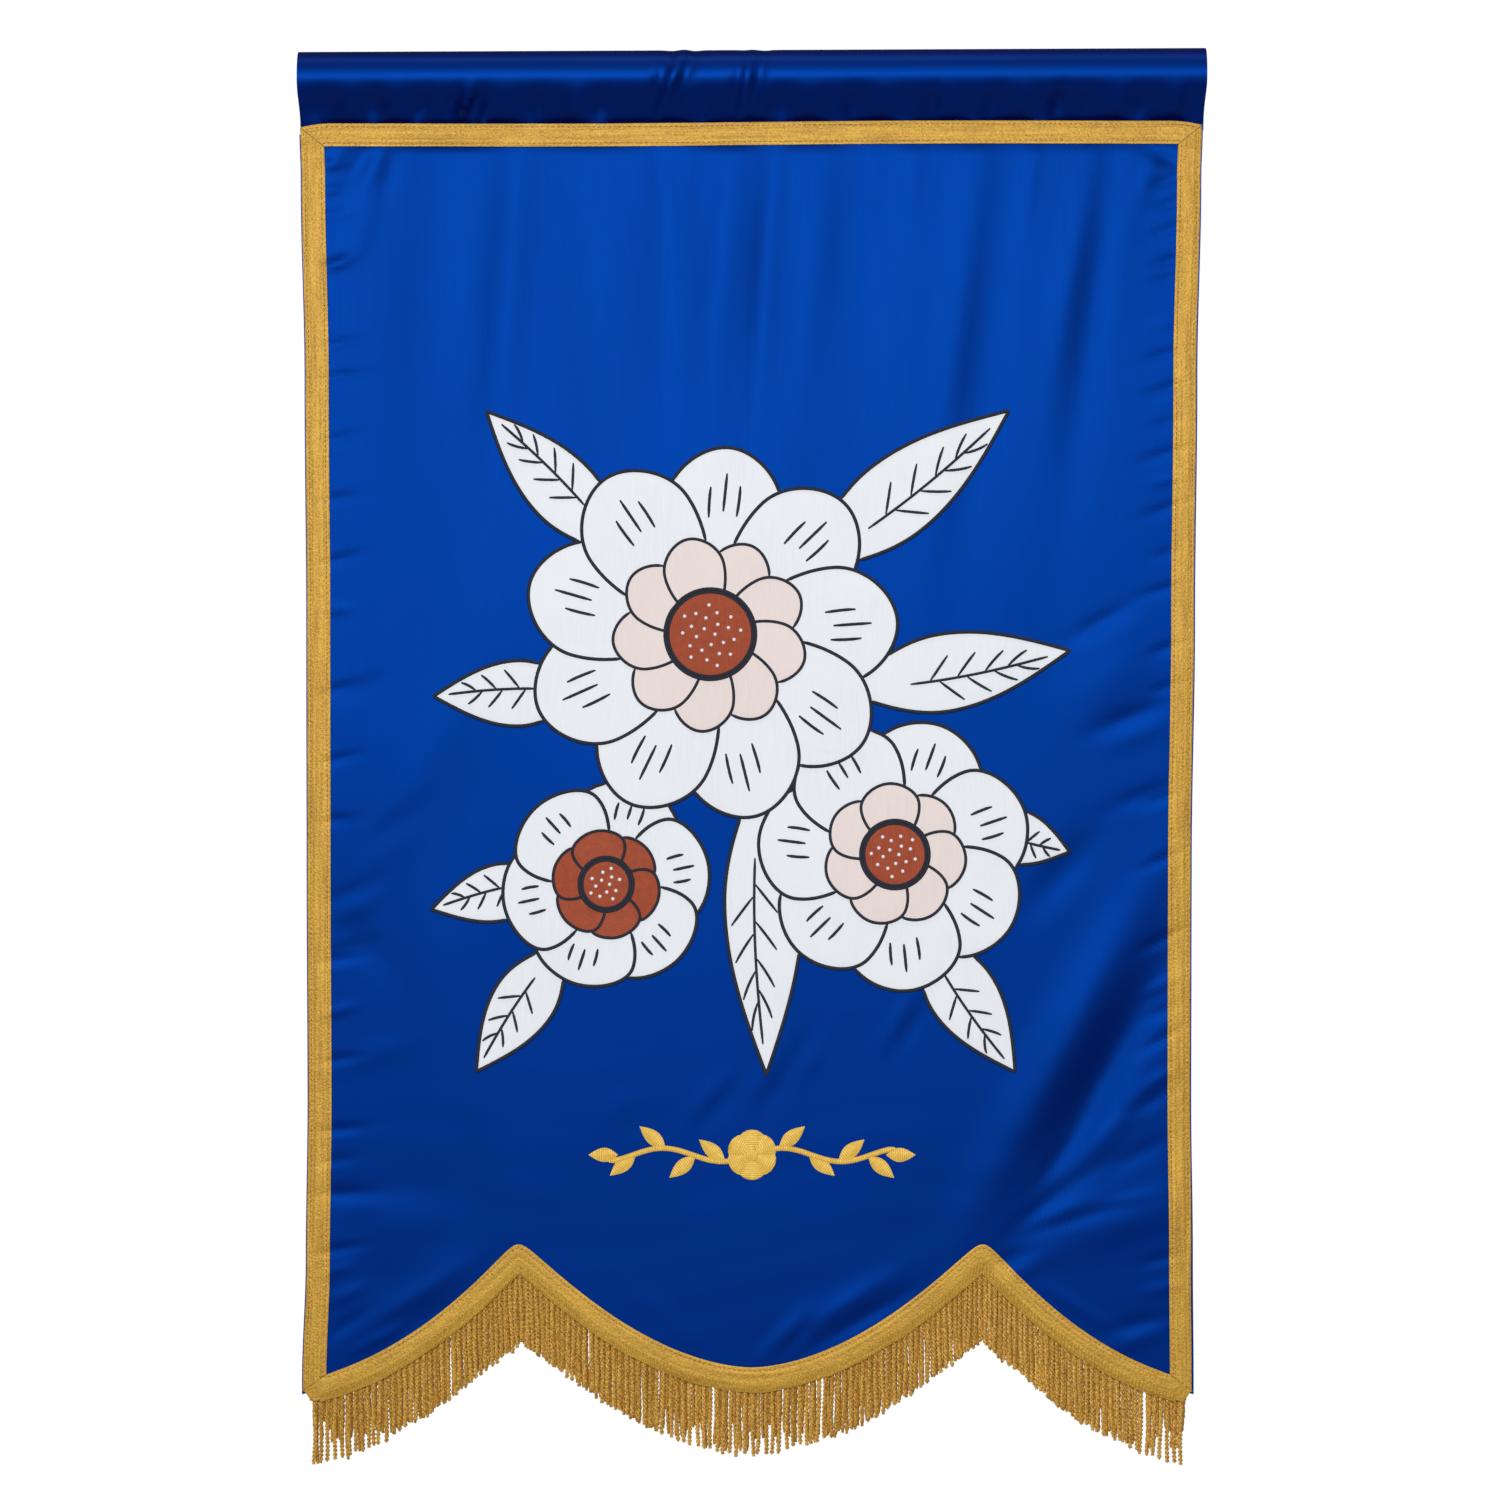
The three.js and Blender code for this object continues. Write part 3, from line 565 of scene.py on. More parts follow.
def raised(u, depth, rows):
    """The sum of the folds in some rows, at places on the cloth."""
    total = np.zeros(np.broadcast(u, depth).shape)
    for at, fold_depth, lean, reach, half, height in rows:
        aside, down = u - at, depth - fold_depth
        turn = math.radians(lean)
        along = (down * math.cos(turn) - aside * math.sin(turn)) / reach
        across = (aside * math.cos(turn) + down * math.sin(turn)) / half
        total += height * np.exp(-along * along - across * across)
    return total


def main_y(u, z):
    """How far the cloth stands back from the seam's plane, main folds only."""
    depth = -np.asarray(z, float)
    down = np.clip(depth / (PEAK_DEPTH + INNER_LOBE[0]), 0, None)
    bow = -HANG_BOW * np.sin(math.pi * down ** BOW_HIGH)
    return (bow - raised(u, depth, MAIN_FOLDS)) * smooth(depth, -cloth_top, -cloth_top + FOLD_FADE)


def cloth_y(u, z):
    """The same with the fine creases, a slow unevenness and, low down, faint bands along the weft."""
    depth = -np.asarray(z, float)
    creases = raised(u, depth, fine_creases) * smooth(depth, *CREASES_FROM)
    slack = SLACK_HEIGHT * np.sin(u / 31 + depth / 97) * np.sin(depth / 41 - u / 113) * smooth(depth, *SLACK_FROM)
    bands = BAND_HEIGHT * np.sin(depth / 5.3 + 2.6 * np.sin(u / 61)) * np.sin(u / 47 + depth / 23)
    return main_y(u, z) - creases - slack - bands * smooth(depth, *BANDS_FROM)


print(len(MAIN_FOLDS), "main folds and", len(fine_creases), "fine creases")

# %% [markdown]
# The panel is one sheet of satin with its stiffening, 1.2 mm thick. It could be draped by a cloth simulation, but then
# the folds would fall where they please. A grid that follows the fold function keeps them where the photograph shows
# them. Its points are just under 3 mm apart, about half the width of the narrowest pucker, and wider apart across the
# quiet middle.

# %% Satin panel
PANEL_ROW_PITCH = 2.8
# Each row: from, to, and the distance between columns there
PANEL_COLUMNS = [(-HALF_WIDTH, -240, 2.6), (-240, 140, 4.6), (140, HALF_WIDTH, 2.9)]


def at_cloth(u, z, out):
    """Points that lie out millimetres in front of the cloth's middle."""
    u, z, out = np.broadcast_arrays(np.asarray(u, float), z, out)
    return np.stack([hanging_x(u, z), cloth_y(u, z) - out, z], axis=-1)


def panel_grid():
    spans = [np.linspace(a, b, int(round((b - a) / pitch)), endpoint=False) for a, b, pitch in PANEL_COLUMNS]
    u = np.concatenate(spans + [[HALF_WIDTH]])
    cut = lowered_hem_z(u, CUT_BEHIND_BRAID)
    rows = int(round((cloth_top - cut.mean()) / PANEL_ROW_PITCH)) + 1
    share = np.linspace(0, 1, rows)
    top = cloth_top + rise(u)
    return u[:, None] + 0 * share, top[:, None] + (cut - top)[:, None] * share


def make_panel():
    pile = Pile()
    u, z = panel_grid()
    pile.add_sheet(at_cloth(u, z, FACE), at_cloth(u, z, -FACE))
    return make_piece("panel_satin", pile, blue_satin)


panel = make_panel()

# %% [markdown]
# The rod sleeve is the top of the same cloth, turned back over the rod and sewn down. Its cross-section is a drop: the
# cloth hangs over the rod in a round, then both walls run straight to the seam. The middle line of the cloth is drawn
# first, and the two faces are that line moved out and in by half the thickness. The front wall is slack, so it has
# small upright ripples, and two sharper gathers that run up over the rod.

# %% Rod sleeve
BORE_RADIUS = 13.8
# Each row: place from the middle, lean to the right, half width, height
SLEEVE_RIPPLES = [
    (-300, 4, 9, 2.2), (-274, 8, 9, -0.9), (-256, 10, 6, 0.9), (-240, 10, 6, -1.3), (-226, 12, 5, 1.0),
    (-207, 12, 5, -1.4), (-188, 20, 5, -1.3), (-181, 22, 4, 2.4), (-173, 22, 5, -1.6), (-150, 8, 7, 1.0),
    (-128, 6, 5, -1.1), (-104, 10, 8, 1.6), (-86, 12, 5, -1.0), (-34, 14, 6, 1.2), (20, 6, 7, 1.1), (36, 4, 6, -0.8),
    (58, -4, 9, 1.2), (84, 6, 6, -1.0), (104, 8, 9, 1.1), (138, 4, 5, -1.1), (150, -6, 8, 0.9), (178, 8, 6, -1.0),
    (196, 10, 8, 1.2), (222, 8, 6, -1.6), (240, 6, 5, -0.7), (262, 6, 8, 1.3), (280, 4, 6, -0.8), (301, 2, 7, 1.6),
]
# The cloth falls almost upright from the front of the rod before it slopes back to the seam
BELLY_HEIGHT, BELLY_DEPTH, BELLY_HALF = 2.3, 23.8, 8.0
# The slope ends just below the top edge of the braid, so no upright strip shows between them
SLOPE_END = 48.4
# The wall starts below the front of the rod. Its swelling ripples stand beside its gathers, not above them
WALL_FROM = 15
SWELL, SWELL_LOW, SWELL_SHIFT = 2.0, 1.5, 17
SLEEVE_GATHERS = [
    (-72, 22, 4.5, -1.5), (-64, 22, 4.0, 1.7), (-55, 20, 4.5, -1.9), (-15, 14, 4.0, -1.5), (-8, 8, 3.6, 1.7),
    (-1, 12, 4.0, -1.8),
]
# The gathers keep a share of their height over the top of the rod, are full at one depth and fade from another
GATHERS_ON_TOP, GATHERS_FULL_AT, GATHERS_FADE_FROM = 0.35, 26, 34
# At the seam a ripple's foot stands out or is pressed in, within these limits
FOOT_HEIGHT, FOOT_RANGE = 3, (-1.1, 0.2)
# The rear wall keeps a share of the front wall's slack and gives way at the seam
REAR_SLACK, REAR_GIVES = 0.5, 2.4
# The sleeve draws in by this share of its width towards the seam
SLEEVE_DRAWN = 0.004
# Steps round the rod, down each wall and down each lip, and columns along the sleeve
ROUND_STEPS, WALL_STEPS, LIP_STEPS, SLEEVE_COLUMNS = 44, 16, 4, 221
WALLS_APART = CLOTH_THICK + 0.05


def sleeve_line():
    """The cloth's middle line from the front lip over the rod to the back lip, as rows of y and z."""
    middle = BORE_RADIUS + FACE
    centre = -BORE_RADIUS

    def leaves(y):
        reach = math.hypot(y, -SLOPE_END - centre)
        return math.pi - math.acos(middle / reach) - math.atan2(abs(y), SLOPE_END + centre)

    angles = np.linspace(-leaves(0), leaves(WALLS_APART), ROUND_STEPS)
    round_part = np.stack([middle * np.sin(angles), centre + middle * np.cos(angles)], axis=1)

    def straight(a, b, parts):
        return np.linspace(a, b, parts, endpoint=False)

    seam_front, seam_back = (0, -SLOPE_END), (WALLS_APART, -SLOPE_END)
    lip_front, lip_back = (0, -SEAM_DEPTH - LIP_DEPTH), (WALLS_APART, -SEAM_DEPTH - LIP_DEPTH)
    return np.concatenate([
        straight(lip_front, seam_front, LIP_STEPS), straight(seam_front, round_part[0], WALL_STEPS),
        round_part[:-1], straight(round_part[-1], seam_back, WALL_STEPS),
        straight(seam_back, lip_back, LIP_STEPS), [lip_back],
    ])


def ripple(x, z, rows):
    total = np.zeros(np.broadcast(x, z).shape)
    for at, lean, half, height in rows:
        across = (x - at - (z + SEAM_DEPTH) * math.tan(math.radians(lean))) / half
        total += height * np.exp(-across * across)
    return total


def sleeve_lift(x, z):
    """How far the cloth stands off its own middle line, round the whole sleeve."""
    above_seam = z > -SLOPE_END - 0.01
    # Some ripples swell in the middle of the wall, and others are gathers that grow towards the seam
    down_wall = np.clip((-z - WALL_FROM) / (SLOPE_END - WALL_FROM), 0, 1) * above_seam
    swell = SWELL * np.sin(down_wall ** SWELL_LOW * math.pi) ** 2 * ripple(x + SWELL_SHIFT, z, SLEEVE_RIPPLES)
    foot = FOOT_HEIGHT * down_wall ** 3 * np.clip(ripple(x, z, SLEEVE_RIPPLES) - 1, *FOOT_RANGE)
    over_rod = (GATHERS_ON_TOP + (1 - GATHERS_ON_TOP) * smooth(-z, 0, GATHERS_FULL_AT)) * above_seam
    gathers = ripple(x, z, SLEEVE_GATHERS) * (1 - 0.5 * smooth(-z, GATHERS_FADE_FROM, SLOPE_END))
    belly = BELLY_HEIGHT * np.exp(-((-z - BELLY_DEPTH) / BELLY_HALF) ** 2) * above_seam
    slack = swell + over_rod * gathers + belly
    # The rear wall is drawn tighter, and gives way where the front wall's gathers press on it
    count = z.shape[1]
    towards_rear = smooth(np.arange(count), 0.4 * count, 0.6 * count)[None, :]
    rear = REAR_SLACK * slack + REAR_GIVES * down_wall ** 3
    return (1 - towards_rear) * (slack + foot) + towards_rear * rear


def make_sleeve():
    line = sleeve_line()
    step = np.gradient(line, axis=0)
    step /= np.linalg.norm(step, axis=1)[:, None]
    outward = np.stack([-step[:, 1], step[:, 0]], axis=1)
    x = np.linspace(-SLEEVE_LENGTH / 2, SLEEVE_LENGTH / 2, SLEEVE_COLUMNS)[:, None]
    y, z = line[None, :, 0], line[None, :, 1]
    lift = sleeve_lift(x, z)
    across = x * (1 - SLEEVE_DRAWN * smooth(-z, 20, SEAM_DEPTH)) + 0 * y

    def face(out):
        away = lift + out
        return np.stack([across, y + away * outward[:, 0], z + away * outward[:, 1] + rise(x)], axis=-1)

    length = float(np.linalg.norm(np.diff(line, axis=0), axis=1).sum())
    pile = Pile()
    pile.add_sheet(face(FACE)[:, ::-1], face(-FACE)[:, ::-1])
    return make_piece("sleeve_satin", pile, blue_satin), length


sleeve, sleeve_cloth = make_sleeve()
print(f"the sleeve takes {sleeve_cloth:.0f} mm of cloth round the rod")

# %% [markdown]
# The braid is a flat plait 15.5 mm wide. Its edges are rounded, and a line of stitches sinks into it near each edge.
# Four lengths meet in mitres at the corners. Each is a grid with one row of points for each step along the braid and
# thirteen points across it, so the same function serves all four.

# %% Gold braid round the panel
BRAID_WIDTH = 15.5
BRAID_THICK = 1.5
BRAID_SET_IN = 0.8
BRAID_TOP_DEPTH = 47.4
BRAID_PITCH = 1.5
ACROSS = np.linspace(0, 1, 13)
# The braid's edge rounds off, and its stitches sink it in a narrow groove. Shares are of its thickness
EDGE_ROUND, EDGE_SHARE = 0.8, 0.28
STITCH_INSET, GROOVE_HALF, GROOVE_SHARE = 2.2, 0.7, 0.36
RIB_PITCH, RIB_SHARE, WEAR_SHARE = 3.1, 0.05, 0.05
# More cloth shows outside the right braid, and most of all near its lower end
RIGHT_SET_IN, LOW_RIGHT_SET_IN = 0.2, 0.6
SET_IN_FROM, LOW_SET_IN_FROM = (70, 130), (740, 850)
# The hem's curve is about this many half widths long
HEM_HALF_WIDTHS = 2.3
CORNER_RISE = 9
# The top braid droops at its ends, over this reach, and waves a little on the way
END_DROOP, DROOP_REACH, TOP_WAVE = 3, 22, 0.5
outer_u = HALF_WIDTH - BRAID_SET_IN
inner_u = outer_u - BRAID_WIDTH
MITRE_GAP = 0.25
CORNER_ROUND = 7


def braid_top_z(u):
    droop = END_DROOP * (np.maximum(0, np.abs(u) - (HALF_WIDTH - DROOP_REACH)) / DROOP_REACH) ** 2
    return -BRAID_TOP_DEPTH + rise(u) + TOP_WAVE * np.sin(u / 70) - droop


def braid_relief(along):
    """The braid's thickness: rounded edges, two sunken stitch lines and small plaited ribs."""
    across_mm = ACROSS * BRAID_WIDTH
    edge = np.minimum(across_mm, BRAID_WIDTH - across_mm)
    groove = GROOVE_SHARE * np.exp(-((edge - STITCH_INSET) / GROOVE_HALF) ** 2)
    profile = 1 - EDGE_SHARE + EDGE_SHARE * np.clip(edge / EDGE_ROUND, 0, 1) - groove
    ribs = RIB_SHARE * np.sin(along[..., None] * 2 * math.pi / RIB_PITCH + across_mm * 0.9)
    wear = WEAR_SHARE * np.sin(along[..., None] / 13 + 2 * ACROSS)
    return BRAID_THICK * (profile + ribs + wear)


def add_braid(pile, u, z, along, upright=False):
    """u and z are grids of places on the cloth, one row across the braid for each step along it."""
    back = at_cloth(u, z, SEWN_ON)
    front = at_cloth(u, z, SEWN_ON + braid_relief(along))
    coordinates = np.stack([along[:, None] + 0 * u, ACROSS * BRAID_WIDTH + 0 * u], axis=-1)
    grids = [front, back, coordinates]
    if upright:
        grids = [grid.transpose(1, 0, 2) for grid in grids]
    pile.add_sheet(*grids)


def make_top_braid():
    steps = int(2 * outer_u / BRAID_PITCH)
    reach = outer_u - ACROSS * BRAID_WIDTH
    share = np.linspace(-1, 1, steps)[:, None]
    u = share * reach
    z = braid_top_z(u) - ACROSS * BRAID_WIDTH
    pile = Pile()
    add_braid(pile, u, z, share[:, 0] * outer_u)
    return make_piece("braid_top_gold", pile, gold_braid)


corner_z = float(lowered_hem_z(outer_u, BRAID_WIDTH)) + CORNER_RISE


def make_side_braid(name, side):
    u_across = side * (outer_u - ACROSS * BRAID_WIDTH)
    top = braid_top_z(u_across) - ACROSS * BRAID_WIDTH - 2 * MITRE_GAP
    low = corner_z + (hem_z(inner_u) + MITRE_GAP - corner_z) * ACROSS
    steps = int((top[0] - low[0]) / BRAID_PITCH)
    share = np.linspace(0, 1, steps)[:, None]
    z = top + (low - top) * share
    set_in = RIGHT_SET_IN + LOW_RIGHT_SET_IN * smooth(-z, *LOW_SET_IN_FROM)
    set_in = set_in * smooth(-z, *SET_IN_FROM) * (1 - ACROSS)
    u = u_across - (set_in if side > 0 else 0 * z)
    along = share[:, 0] * (top[0] - low[0])
    if side > 0:
        u, z, along = u[::-1], z[::-1], along[::-1]
    pile = Pile()
    add_braid(pile, u, z, along, upright=True)
    return make_piece(name, pile, gold_braid)


def make_hem_braid():
    steps = int(HEM_HALF_WIDTHS * outer_u / BRAID_PITCH)
    even = np.linspace(-1, 1, steps)[:, None]
    reach = inner_u + (outer_u - inner_u) * ACROSS
    u = even * reach
    z = np.stack([lowered_hem_z(u[:, j], s * BRAID_WIDTH) for j, s in enumerate(ACROSS)], axis=1)
    mitre = hem_z(inner_u) + (corner_z - hem_z(inner_u)) * ACROSS - MITRE_GAP
    z = z + (mitre - z[-1]) * smooth(np.abs(u), reach - CORNER_ROUND, reach)
    pile = Pile()
    add_braid(pile, u, z, walked_along(np.stack([u[:, 0], z[:, 0]], axis=1)))
    return make_piece("braid_hem_gold", pile, gold_braid)


top_braid = make_top_braid()
left_braid = make_side_braid("braid_left_gold", -1)
right_braid = make_side_braid("braid_right_gold", 1)
hem_braid = make_hem_braid()

# %% [markdown]
# Stitches hold the braid down, join its mitres and close the sleeve. Each is a rounded length of thread, 2.3 mm long.
# They run along a line near each edge of the braid on the face, and along the same lines on the back, where the needle
# came through.

# %% Stitches
STITCH_LENGTH = 2.3
STITCH_PITCH = 3.4
STITCH_RADIUS = 0.33
STITCH_SIDES, STITCH_RINGS = 6, 4
# Stitches lie at this share of the braid's thickness, and those of the mitres a little further forward
STITCH_LEVEL, MITRE_FORWARD = 0.74, 0.25
BACK_STITCH_OUT = 0.1


def add_stitch(pile, start, end):
    """A rounded length of thread from start to end."""
    line = end - start
    length = np.linalg.norm(line)
    line = line / length
    aside = np.cross(line, (0, 1, 0))
    aside /= np.linalg.norm(aside)
    up = np.cross(line, aside)
    angles = np.arange(STITCH_SIDES) * 2 * math.pi / STITCH_SIDES
    ring = np.cos(angles)[:, None] * aside + np.sin(angles)[:, None] * up
    places = np.linspace(0, 1, STITCH_RINGS)
    sizes = np.sqrt(np.clip(1 - (2 * places - 1) ** 4, 0.15, 1))
    circles = [start + line * length * p + ring * STITCH_RADIUS * s for p, s in zip(places, sizes)]
    tip = line * 0.3 * STITCH_RADIUS
    pile.add_rings(circles, start - tip, end + tip)


def stitch_line(pile, places, surface):
    """Stitches along a line of (u, z) places, lying on the surface that the function gives."""
    places = np.asarray(places, float)
    walked = walked_along(places)
    for first in np.arange(1.0, walked[-1] - STITCH_LENGTH, STITCH_PITCH):
        start, end = [
            surface(np.interp(distance, walked, places[:, 0]), np.interp(distance, walked, places[:, 1]))
            for distance in (first, first + STITCH_LENGTH)
        ]
        add_stitch(pile, start, end)


def face_stitch(u, z):
    return at_cloth(u, z, SEWN_ON + BRAID_THICK * STITCH_LEVEL)


def back_stitch(u, z):
    return at_cloth(u, z, -FACE - BACK_STITCH_OUT)


def braid_lines():
    """Lines of places near both edges of each braid."""
    lines = []
    for inset in (STITCH_INSET, BRAID_WIDTH - STITCH_INSET):
        u = np.linspace(-(outer_u - inset), outer_u - inset, 240)
        lines.append(np.stack([u, braid_top_z(u) - inset], axis=1))
        flank = np.linspace(-(inner_u + inset - 2), inner_u + inset - 2, 420)
        lines.append(np.stack([flank, lowered_hem_z(flank, inset)], axis=1))
        for side in (-1, 1):
            at = side * (outer_u - inset)
            z = np.linspace(braid_top_z(at) - inset - 1, hem_z(at) - 2, 200)
            lines.append(np.stack([at + 0 * z, z], axis=1))
    return lines


def mitre_lines():
    """The joints at the four corners, from the inner corner outwards."""
    share = np.linspace(0.08, 0.92, 12)
    lines = []
    for side in (-1, 1):
        u = side * (inner_u + (outer_u - inner_u) * share)
        lines.append(np.stack([u, braid_top_z(u) - BRAID_WIDTH * (1 - share) - MITRE_GAP], axis=1))
        z = hem_z(inner_u) + (corner_z - hem_z(inner_u)) * share
        lines.append(np.stack([u, z], axis=1))
    return lines


def make_stitches():
    pile = Pile()
    for line in braid_lines():
        stitch_line(pile, line, face_stitch)
    for line in mitre_lines():
        stitch_line(pile, line, lambda u, z: face_stitch(u, z) - (0, MITRE_FORWARD, 0))
    return make_piece("stitches_face", pile, braid_thread)


def make_back_stitches():
    pile = Pile()
    for line in braid_lines():
        below_lip = line[line[:, 1] < -SEAM_DEPTH - LIP_DEPTH - 1.5]
        if len(below_lip) > 20:
            stitch_line(pile, below_lip, back_stitch)
    u = np.linspace(-HALF_WIDTH + 2, HALF_WIDTH - 2, 200)
    lip_back = CLOTH_THICK + FACE + 0.2
    sleeve_seam = np.stack([u, rise(u) - SEAM_DEPTH - LIP_DEPTH * 0.55], axis=1)
    stitch_line(pile, sleeve_seam, lambda u, z: np.array([hanging_x(u, z), lip_back, z]))
    return make_piece("stitches_back", pile, braid_thread)


stitches = make_stitches()
back_stitches = make_back_stitches()

# %% [markdown]
# The fringe. A narrow tape is sewn behind the braid's lower edge, and cords hang straight down from it. Every cord is
# two plies twisted round each other, made here as two thin tubes that wind about one line. There are two rows: bright,
# tightly twisted cords in front, and a closer row of thicker ones behind, which closes the gaps everywhere but at the
# corners and under the middle lobe. The rear cords take darker tones, as painted shade in the gaps between the front
# ones. Their lengths, leans and spacing are uneven, as cords that have hung and been handled are. The random numbers
# have a fixed seed, so the fringe is the same each time.

# %% Cord fringe
FRINGE_DROP = 44
CORD_SIDES = 5
# For each row of cords: the distance between cords, how far they hang behind the cloth's middle, the thickness of a ply
# and its distance from the cord's middle line, the length of one twist, the step between rings along a cord, the range
# of tones, and how much of the fringe's openness shows as missing cords or as shorter ones
FRONT_ROW = {"pitch": 4.7, "back": 1.2, "ply": 0.95, "offset": 0.78, "twist": 5.6, "step": 0.95,
             "tones": (0.55, 1.15), "missing": 0.1, "shorter": 0.0}
# The rear row's low tones darken its cords as painted shade between the front cords
REAR_ROW = {"pitch": 2.6, "back": 3.6, "ply": 1.15, "offset": 0.5, "twist": 9.0, "step": 2.6,
            "tones": (0.1, 0.5), "missing": 0.05, "shorter": 0.85}
FRINGE_SEED = 8
# A cord's root wanders by ROOT_SHIFT and lies this far above the braid's lower edge
ROOT_SHIFT, ROOT_RISE = 0.5, 2.2
# Neighbouring cords lean together: each keeps a share of the last one's lean and adds a step of its own
LEAN_KEPT, LEAN_STEP = 0.72, 1.1
SWAY, TAPER_LENGTH = 0.45, 0.9
# The cords are longer at the two peaks, by this much and over this reach
PEAK_EXTRA, PEAK_REACH = 4, 16
fringe_random = random.Random(FRINGE_SEED)


def fringe_places(pitch, first):
    """Places along the hem at even steps, as u of each cord's root."""
    u = np.linspace(-HALF_WIDTH + 6, HALF_WIDTH - 6, 1600)
    z = lowered_hem_z(u, BRAID_WIDTH)
    walked = np.concatenate([[0], np.cumsum(np.hypot(np.diff(u), np.diff(z)))])
    return np.interp(np.arange(first, walked[-1], pitch), walked, u)


def add_cord(pile, row, x, y, top, length, lean, tone):
    """Two plies about a hanging line. lean is how far its end swings in x and y."""
    count = max(6, int(length / row["step"]))
    down = np.linspace(0, 1, count)
    sway = SWAY * np.sin(down * 7 + fringe_random.uniform(0, 6)) * down
    centre = np.stack([x + lean[0] * down ** 1.5 + sway, y + lean[1] * down ** 1.3, top - length * down], axis=1)
    taper = np.clip((1 - down) * length / TAPER_LENGTH, 0.5, 1) ** 0.5
    start = fringe_random.uniform(0, 2 * math.pi)
    around = np.arange(CORD_SIDES) * 2 * math.pi / CORD_SIDES
    ring = np.stack([np.cos(around), -np.sin(around), np.zeros(CORD_SIDES)], axis=1)
    for ply in (0, math.pi):
        turn = start + ply + down * length * 2 * math.pi / row["twist"]
        offset = np.stack([np.cos(turn), np.sin(turn), np.zeros(count)], axis=1) * row["offset"]
        path = centre + offset * taper[:, None]
        rings = path[:, None, :] + ring * (row["ply"] * taper)[:, None, None]
        pile.add_rings(rings, path[0] + (0, 0, 0.3), path[-1] - (0, 0, 0.4), tone)


def openness(u):
    """How see-through the fringe is: most at the corners, some under the middle lobe, none at the peaks."""
    return max(0.75 * float(smooth(abs(u), 225, 285)), 0.55 * (1 - float(smooth(abs(u), 10, 70))))


def make_fringe_row(name, row):
    """One row of cords, each hanging from behind the braid's lower edge."""
    pile = Pile()
    draw = fringe_random.random
    clump = 0.0
    for number, place in enumerate(fringe_places(row["pitch"], row["pitch"] / 2)):
        clump = LEAN_KEPT * clump + fringe_random.uniform(-LEAN_STEP, LEAN_STEP)
        u = float(place + fringe_random.uniform(-ROOT_SHIFT, ROOT_SHIFT))
        if draw() < row["missing"] * openness(u):
            continue
        z = float(lowered_hem_z(u, BRAID_WIDTH - ROOT_RISE))
        length = z - float(lowered_hem_z(u, BRAID_WIDTH)) + FRINGE_DROP
        length += 1.6 * math.sin(number * 0.21) * draw() + fringe_random.uniform(-1.8, 1.2)
        length *= 1 - row["shorter"] * openness(u) * draw()
        length += PEAK_EXTRA * math.exp(-(((abs(u) - PEAK_AT) / PEAK_REACH) ** 2))
        darkest, brightest = row["tones"]
        tone = darkest + (brightest - darkest) * draw()
        lean = (clump, fringe_random.uniform(-1.4, 1.4))
        add_cord(pile, row, float(hanging_x(u, z)), float(main_y(u, z)) + row["back"], z, length, lean, tone)
    return make_piece(name, pile, gold_cord)


print(len(fringe_places(FRONT_ROW["pitch"], FRONT_ROW["pitch"] / 2)), "places for cords in the front row")

# %% [markdown]
# Two strips finish the fringe. The woven tape holds the cords and shows only from behind. The heading is the cords'
# own tops, caught over the lower part of the hem's braid as close upright ribs.

# %% Tape and heading
TAPE_STEPS, HEADING_STEPS = 420, 1500
# The heading starts this far below the braid's upper edge and ends a little below its lower edge
HEADING_FROM, HEADING_BELOW = 9.8, 1.5
HEADING_RIB, HEADING_RIB_HEIGHT = 2.3, 0.22


def make_fringe_tape():
    end = HALF_WIDTH - 5
    across = np.linspace(0, 1, 5)
    u = np.linspace(-end, end, TAPE_STEPS)[:, None] + 0 * across
    upper = lowered_hem_z(u[:, 0], CUT_BEHIND_BRAID) - 0.5
    lower = lowered_hem_z(u[:, 0], BRAID_WIDTH - 0.8)
    z = upper[:, None] + (lower - upper)[:, None] * across
    pile = Pile()
    coordinates = np.stack([u, across * 6 + 0 * u], axis=-1)
    pile.add_sheet(at_cloth(u, z, FACE), at_cloth(u, z, -FACE - 0.3), coordinates)
    return make_piece("fringe_tape", pile, gold_braid)


def make_heading():
    share = np.linspace(0, 1, 7)
    first, last = HEADING_FROM, BRAID_WIDTH + HEADING_BELOW
    u = np.linspace(-inner_u - 4, inner_u + 4, HEADING_STEPS)[:, None] + 0 * share
    z = np.stack([lowered_hem_z(u[:, j], first + (last - first) * t) for j, t in enumerate(share)], axis=1)
    ribs = HEADING_RIB_HEIGHT * np.sin(u * 2 * math.pi / HEADING_RIB + 0.9 * np.sin(u / 17) + 2.2 * share)
    edge = np.minimum(share, 1 - share)
    height = BRAID_THICK * 0.8 + 0.34 * np.clip(edge / 0.16, 0, 1) + ribs * np.clip(edge / 0.1, 0.2, 1)
    wander = 0.35 * np.sin(u / 5.1) * np.sin(u / 13.7 + 1) * share
    front = at_cloth(u, z - wander, SEWN_ON + height)
    back = at_cloth(u, z - wander, SEWN_ON + 0.5)
    pile = Pile()
    pile.add_sheet(front, back, np.stack([u, BRAID_WIDTH + share * (last - first) + 0 * u], axis=-1))
    return make_piece("fringe_heading", pile, gold_braid)


heading = make_heading()
fringe = make_fringe_row("fringe_cords_front", FRONT_ROW)
rear_fringe = make_fringe_row("fringe_cords_rear", REAR_ROW)
fringe_tape = make_fringe_tape()

# %% [markdown]
# The applique is a spray of three flowers and nine leaves in white satin. Each petal and leaf is a blade: it starts at
# a point, widens to its fullest at some share of its length, and closes in a tip or a blunt round. They lie almost in
# one plane, each a hair above the last, so later petals cover earlier ones.

# %% Shapes of the spray
FLOWERS = {
    "large": {"at": -28, "depth": 392, "radius": 126, "petals": 9, "turn": 6},
    "middle": {"at": 96, "depth": 540, "radius": 92, "petals": 7, "turn": 20},
    "small": {"at": -98, "depth": 560, "radius": 70, "petals": 6, "turn": 18},
}
